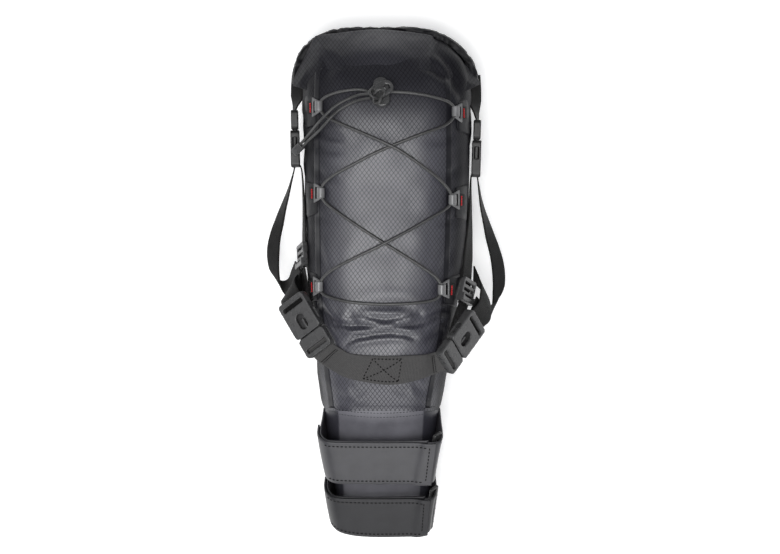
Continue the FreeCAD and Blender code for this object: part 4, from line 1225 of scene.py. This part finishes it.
def build_knot():
    """An overhand knot of the same cord."""
    centre = Vector((-8.5, 186.5, 164.5)) * MM
    points = []
    for k in range(36):
        t = k / 36 * 2 * math.pi
        x = math.sin(t) + 2 * math.sin(2 * t)
        y = math.cos(t) - 2 * math.cos(2 * t)
        points.append(centre + Vector((2.7 * x, 2.8 * y, -3.2 * math.sin(3 * t))) * MM)
    cord_curve("knot_strand_0", points, "bungee_knot", 6, True)


build_knot()


# ------------------------------------------------------------------ moulded parts from the CAD

# the material of each moulded part, and the voxel size in mm that rounds its edges
FINISH = {
    "rail_buckle": ("buckle_face", 0.7), "roll_buckle": ("buckle", 0.6),
    "ladder_lock": ("buckle_face", 0.45), "cord_hook": ("hook", 0.4), "cord_lock_body": ("lock", 0.6),
    "cord_lock_button": ("lock", 0.6), "cord_end_clip": ("lock", 0.5), "post_strap_ring": ("ring", 0.6),
}
OTHER = {
    "bungee": "braid", "bag_shell": "ripstop", "nose_panel": "nose", "roll_top": "crumpled",
    "roll_stiffener": "board", "nose_stiffener": "board", "base_stiffener": "board", "hook_patches": "film",
    "hook_loop": "tape", "box_strap": "wide_tape", "rail_strap": "tape", "roll_tab": "tape",
    "side_strap": "tape", "anchor_strap": "tape", "post_strap": "post", "cord_lock_spring": "wire",
}
for name, made in NODES.items():
    key = next((k for k in FINISH if name.startswith(k)), None)
    made.data.materials.clear()
    if key:
        material, grain = FINISH[key]
        made.data.materials.append(M[material])
        cast = made.modifiers.new("one_moulding", "REMESH")
        cast.mode = "VOXEL"
        cast.voxel_size = grain * MM
        cast.use_smooth_shade = True
        worn = made.modifiers.new("soft_edges", "SMOOTH")
        worn.factor = 0.5
        worn.iterations = 5
    else:
        made.data.materials.append(M[OTHER[next(k for k in OTHER if name.startswith(k))]])
for name in ("roll_stiffener", "nose_stiffener", "base_stiffener"):
    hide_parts(name)


# ------------------------------------------------------------------ hook patches, loops and bartacks

HOOKS = {
    # barrel centre in plan, and the patch's lower and upper end along the bag
    "rear_left": ((-63.5, 176), (158, 186)),
    "rear_right": ((66.8, 170.5), (152, 182)),
    "middle_left": ((-61.5, 89.5), (69, 98)),
    "middle_right": ((63.8, 82.5), (65, 95)),
    "front_left": ((-62.8, -4.3), (-18, 9)),
    "front_right": ((53.2, -7.2), (-22, 4)),
}
tack_lines = []
for spot, ((x, y), (low, high)) in HOOKS.items():
    hand = math.copysign(1, x)
    start = abs(arc_of(x, y))
    patch(f"patch_{spot}", low, high, start + 7, start + 40, hand)
    edges = []
    for side in (-6, 6):
        line = []
        for k in range(12):
            lift = (2.8 if k < 2 else 2.6) - 0.6 * k / 11
            line.append(at_arc(y + side, hand * (start + 9.5 + k * 1.15), lift)[0])
        edges.append(line)
    data = tape_mesh(f"hook_web_{spot}", edges[0], edges[1], 1.5, M["tape"], steps=6)
    fix_normals(add_object(f"hook_web_{spot}", data, "bag", (f"hook_loop_{spot}",)))
    for k in range(3):
        tack_lines.append([at_arc(y - 5.5 + j * 11 / 14, hand * (start + 14.5 + 1.0 * k), 3.3 - 0.3 * k)[0]
                           for j in range(15)])
stitches("red_bartacks", tack_lines, M["red_thread"], 1.4, 0.25, 0.5)

# ------------------------------------------------------------------ floor, light and camera

corners = [(x, y, -0.0005) for x, y in ((-6, -6), (6, -6), (6, 6), (-6, 6))]
floor_data = mesh_of("studio_floor", corners, [(0, 1, 2, 3)], M["floor"], False)
floor = bpy.data.objects.new("studio_floor", floor_data)
scene.collection.objects.link(floor)


def softbox(name, place, aim, wide, tall, power, tone=(1, 1, 1)):
    data = bpy.data.lights.new(name, "AREA")
    data.shape = "RECTANGLE"
    data.size = wide
    data.size_y = tall
    data.energy = power
    data.color = tone
    made = bpy.data.objects.new(name, data)
    made.location = place
    made.rotation_euler = (Vector(aim) - Vector(place)).to_track_quat("-Z", "Y").to_euler()
    scene.collection.objects.link(made)


softbox("overhead", (-0.6, -0.4, 5.2), (0, 0, 0), 4.2, 3.4, 215)
softbox("key", (-0.25, -0.75, 4.9), (0, 0, 0), 1.3, 1.0, 62)
softbox("front", (0.1, -3.3, 1.9), (0, -0.1, 0.1), 3.2, 1.8, 72)
softbox("left_fill", (-3.2, 0.2, 2.2), (0, 0, 0.1), 2.4, 1.8, 15)
softbox("right_fill", (3.2, 0.2, 2.0), (0, 0, 0.1), 2.0, 1.6, 8)
world = bpy.data.worlds.new("studio")
world.use_nodes = True
world.node_tree.nodes["Background"].inputs["Color"].default_value = (0.9, 0.93, 1, 1)
world.node_tree.nodes["Background"].inputs["Strength"].default_value = 0.13
scene.world = world
scene.view_settings.view_transform = "Standard"
scene.view_settings.look = "None"

LENS = 200
FRAME_WIDE = 0.780
SCALE_PLANE = 0.150
camera_data = bpy.data.cameras.new("camera")
camera_data.lens = LENS
camera_data.sensor_width = 36
camera_data.clip_end = 50
camera = bpy.data.objects.new("camera", camera_data)
camera.location = (0.0045, 0.005, SCALE_PLANE + FRAME_WIDE * LENS / 36)
scene.collection.objects.link(camera)
scene.camera = camera

bpy.context.view_layer.update()
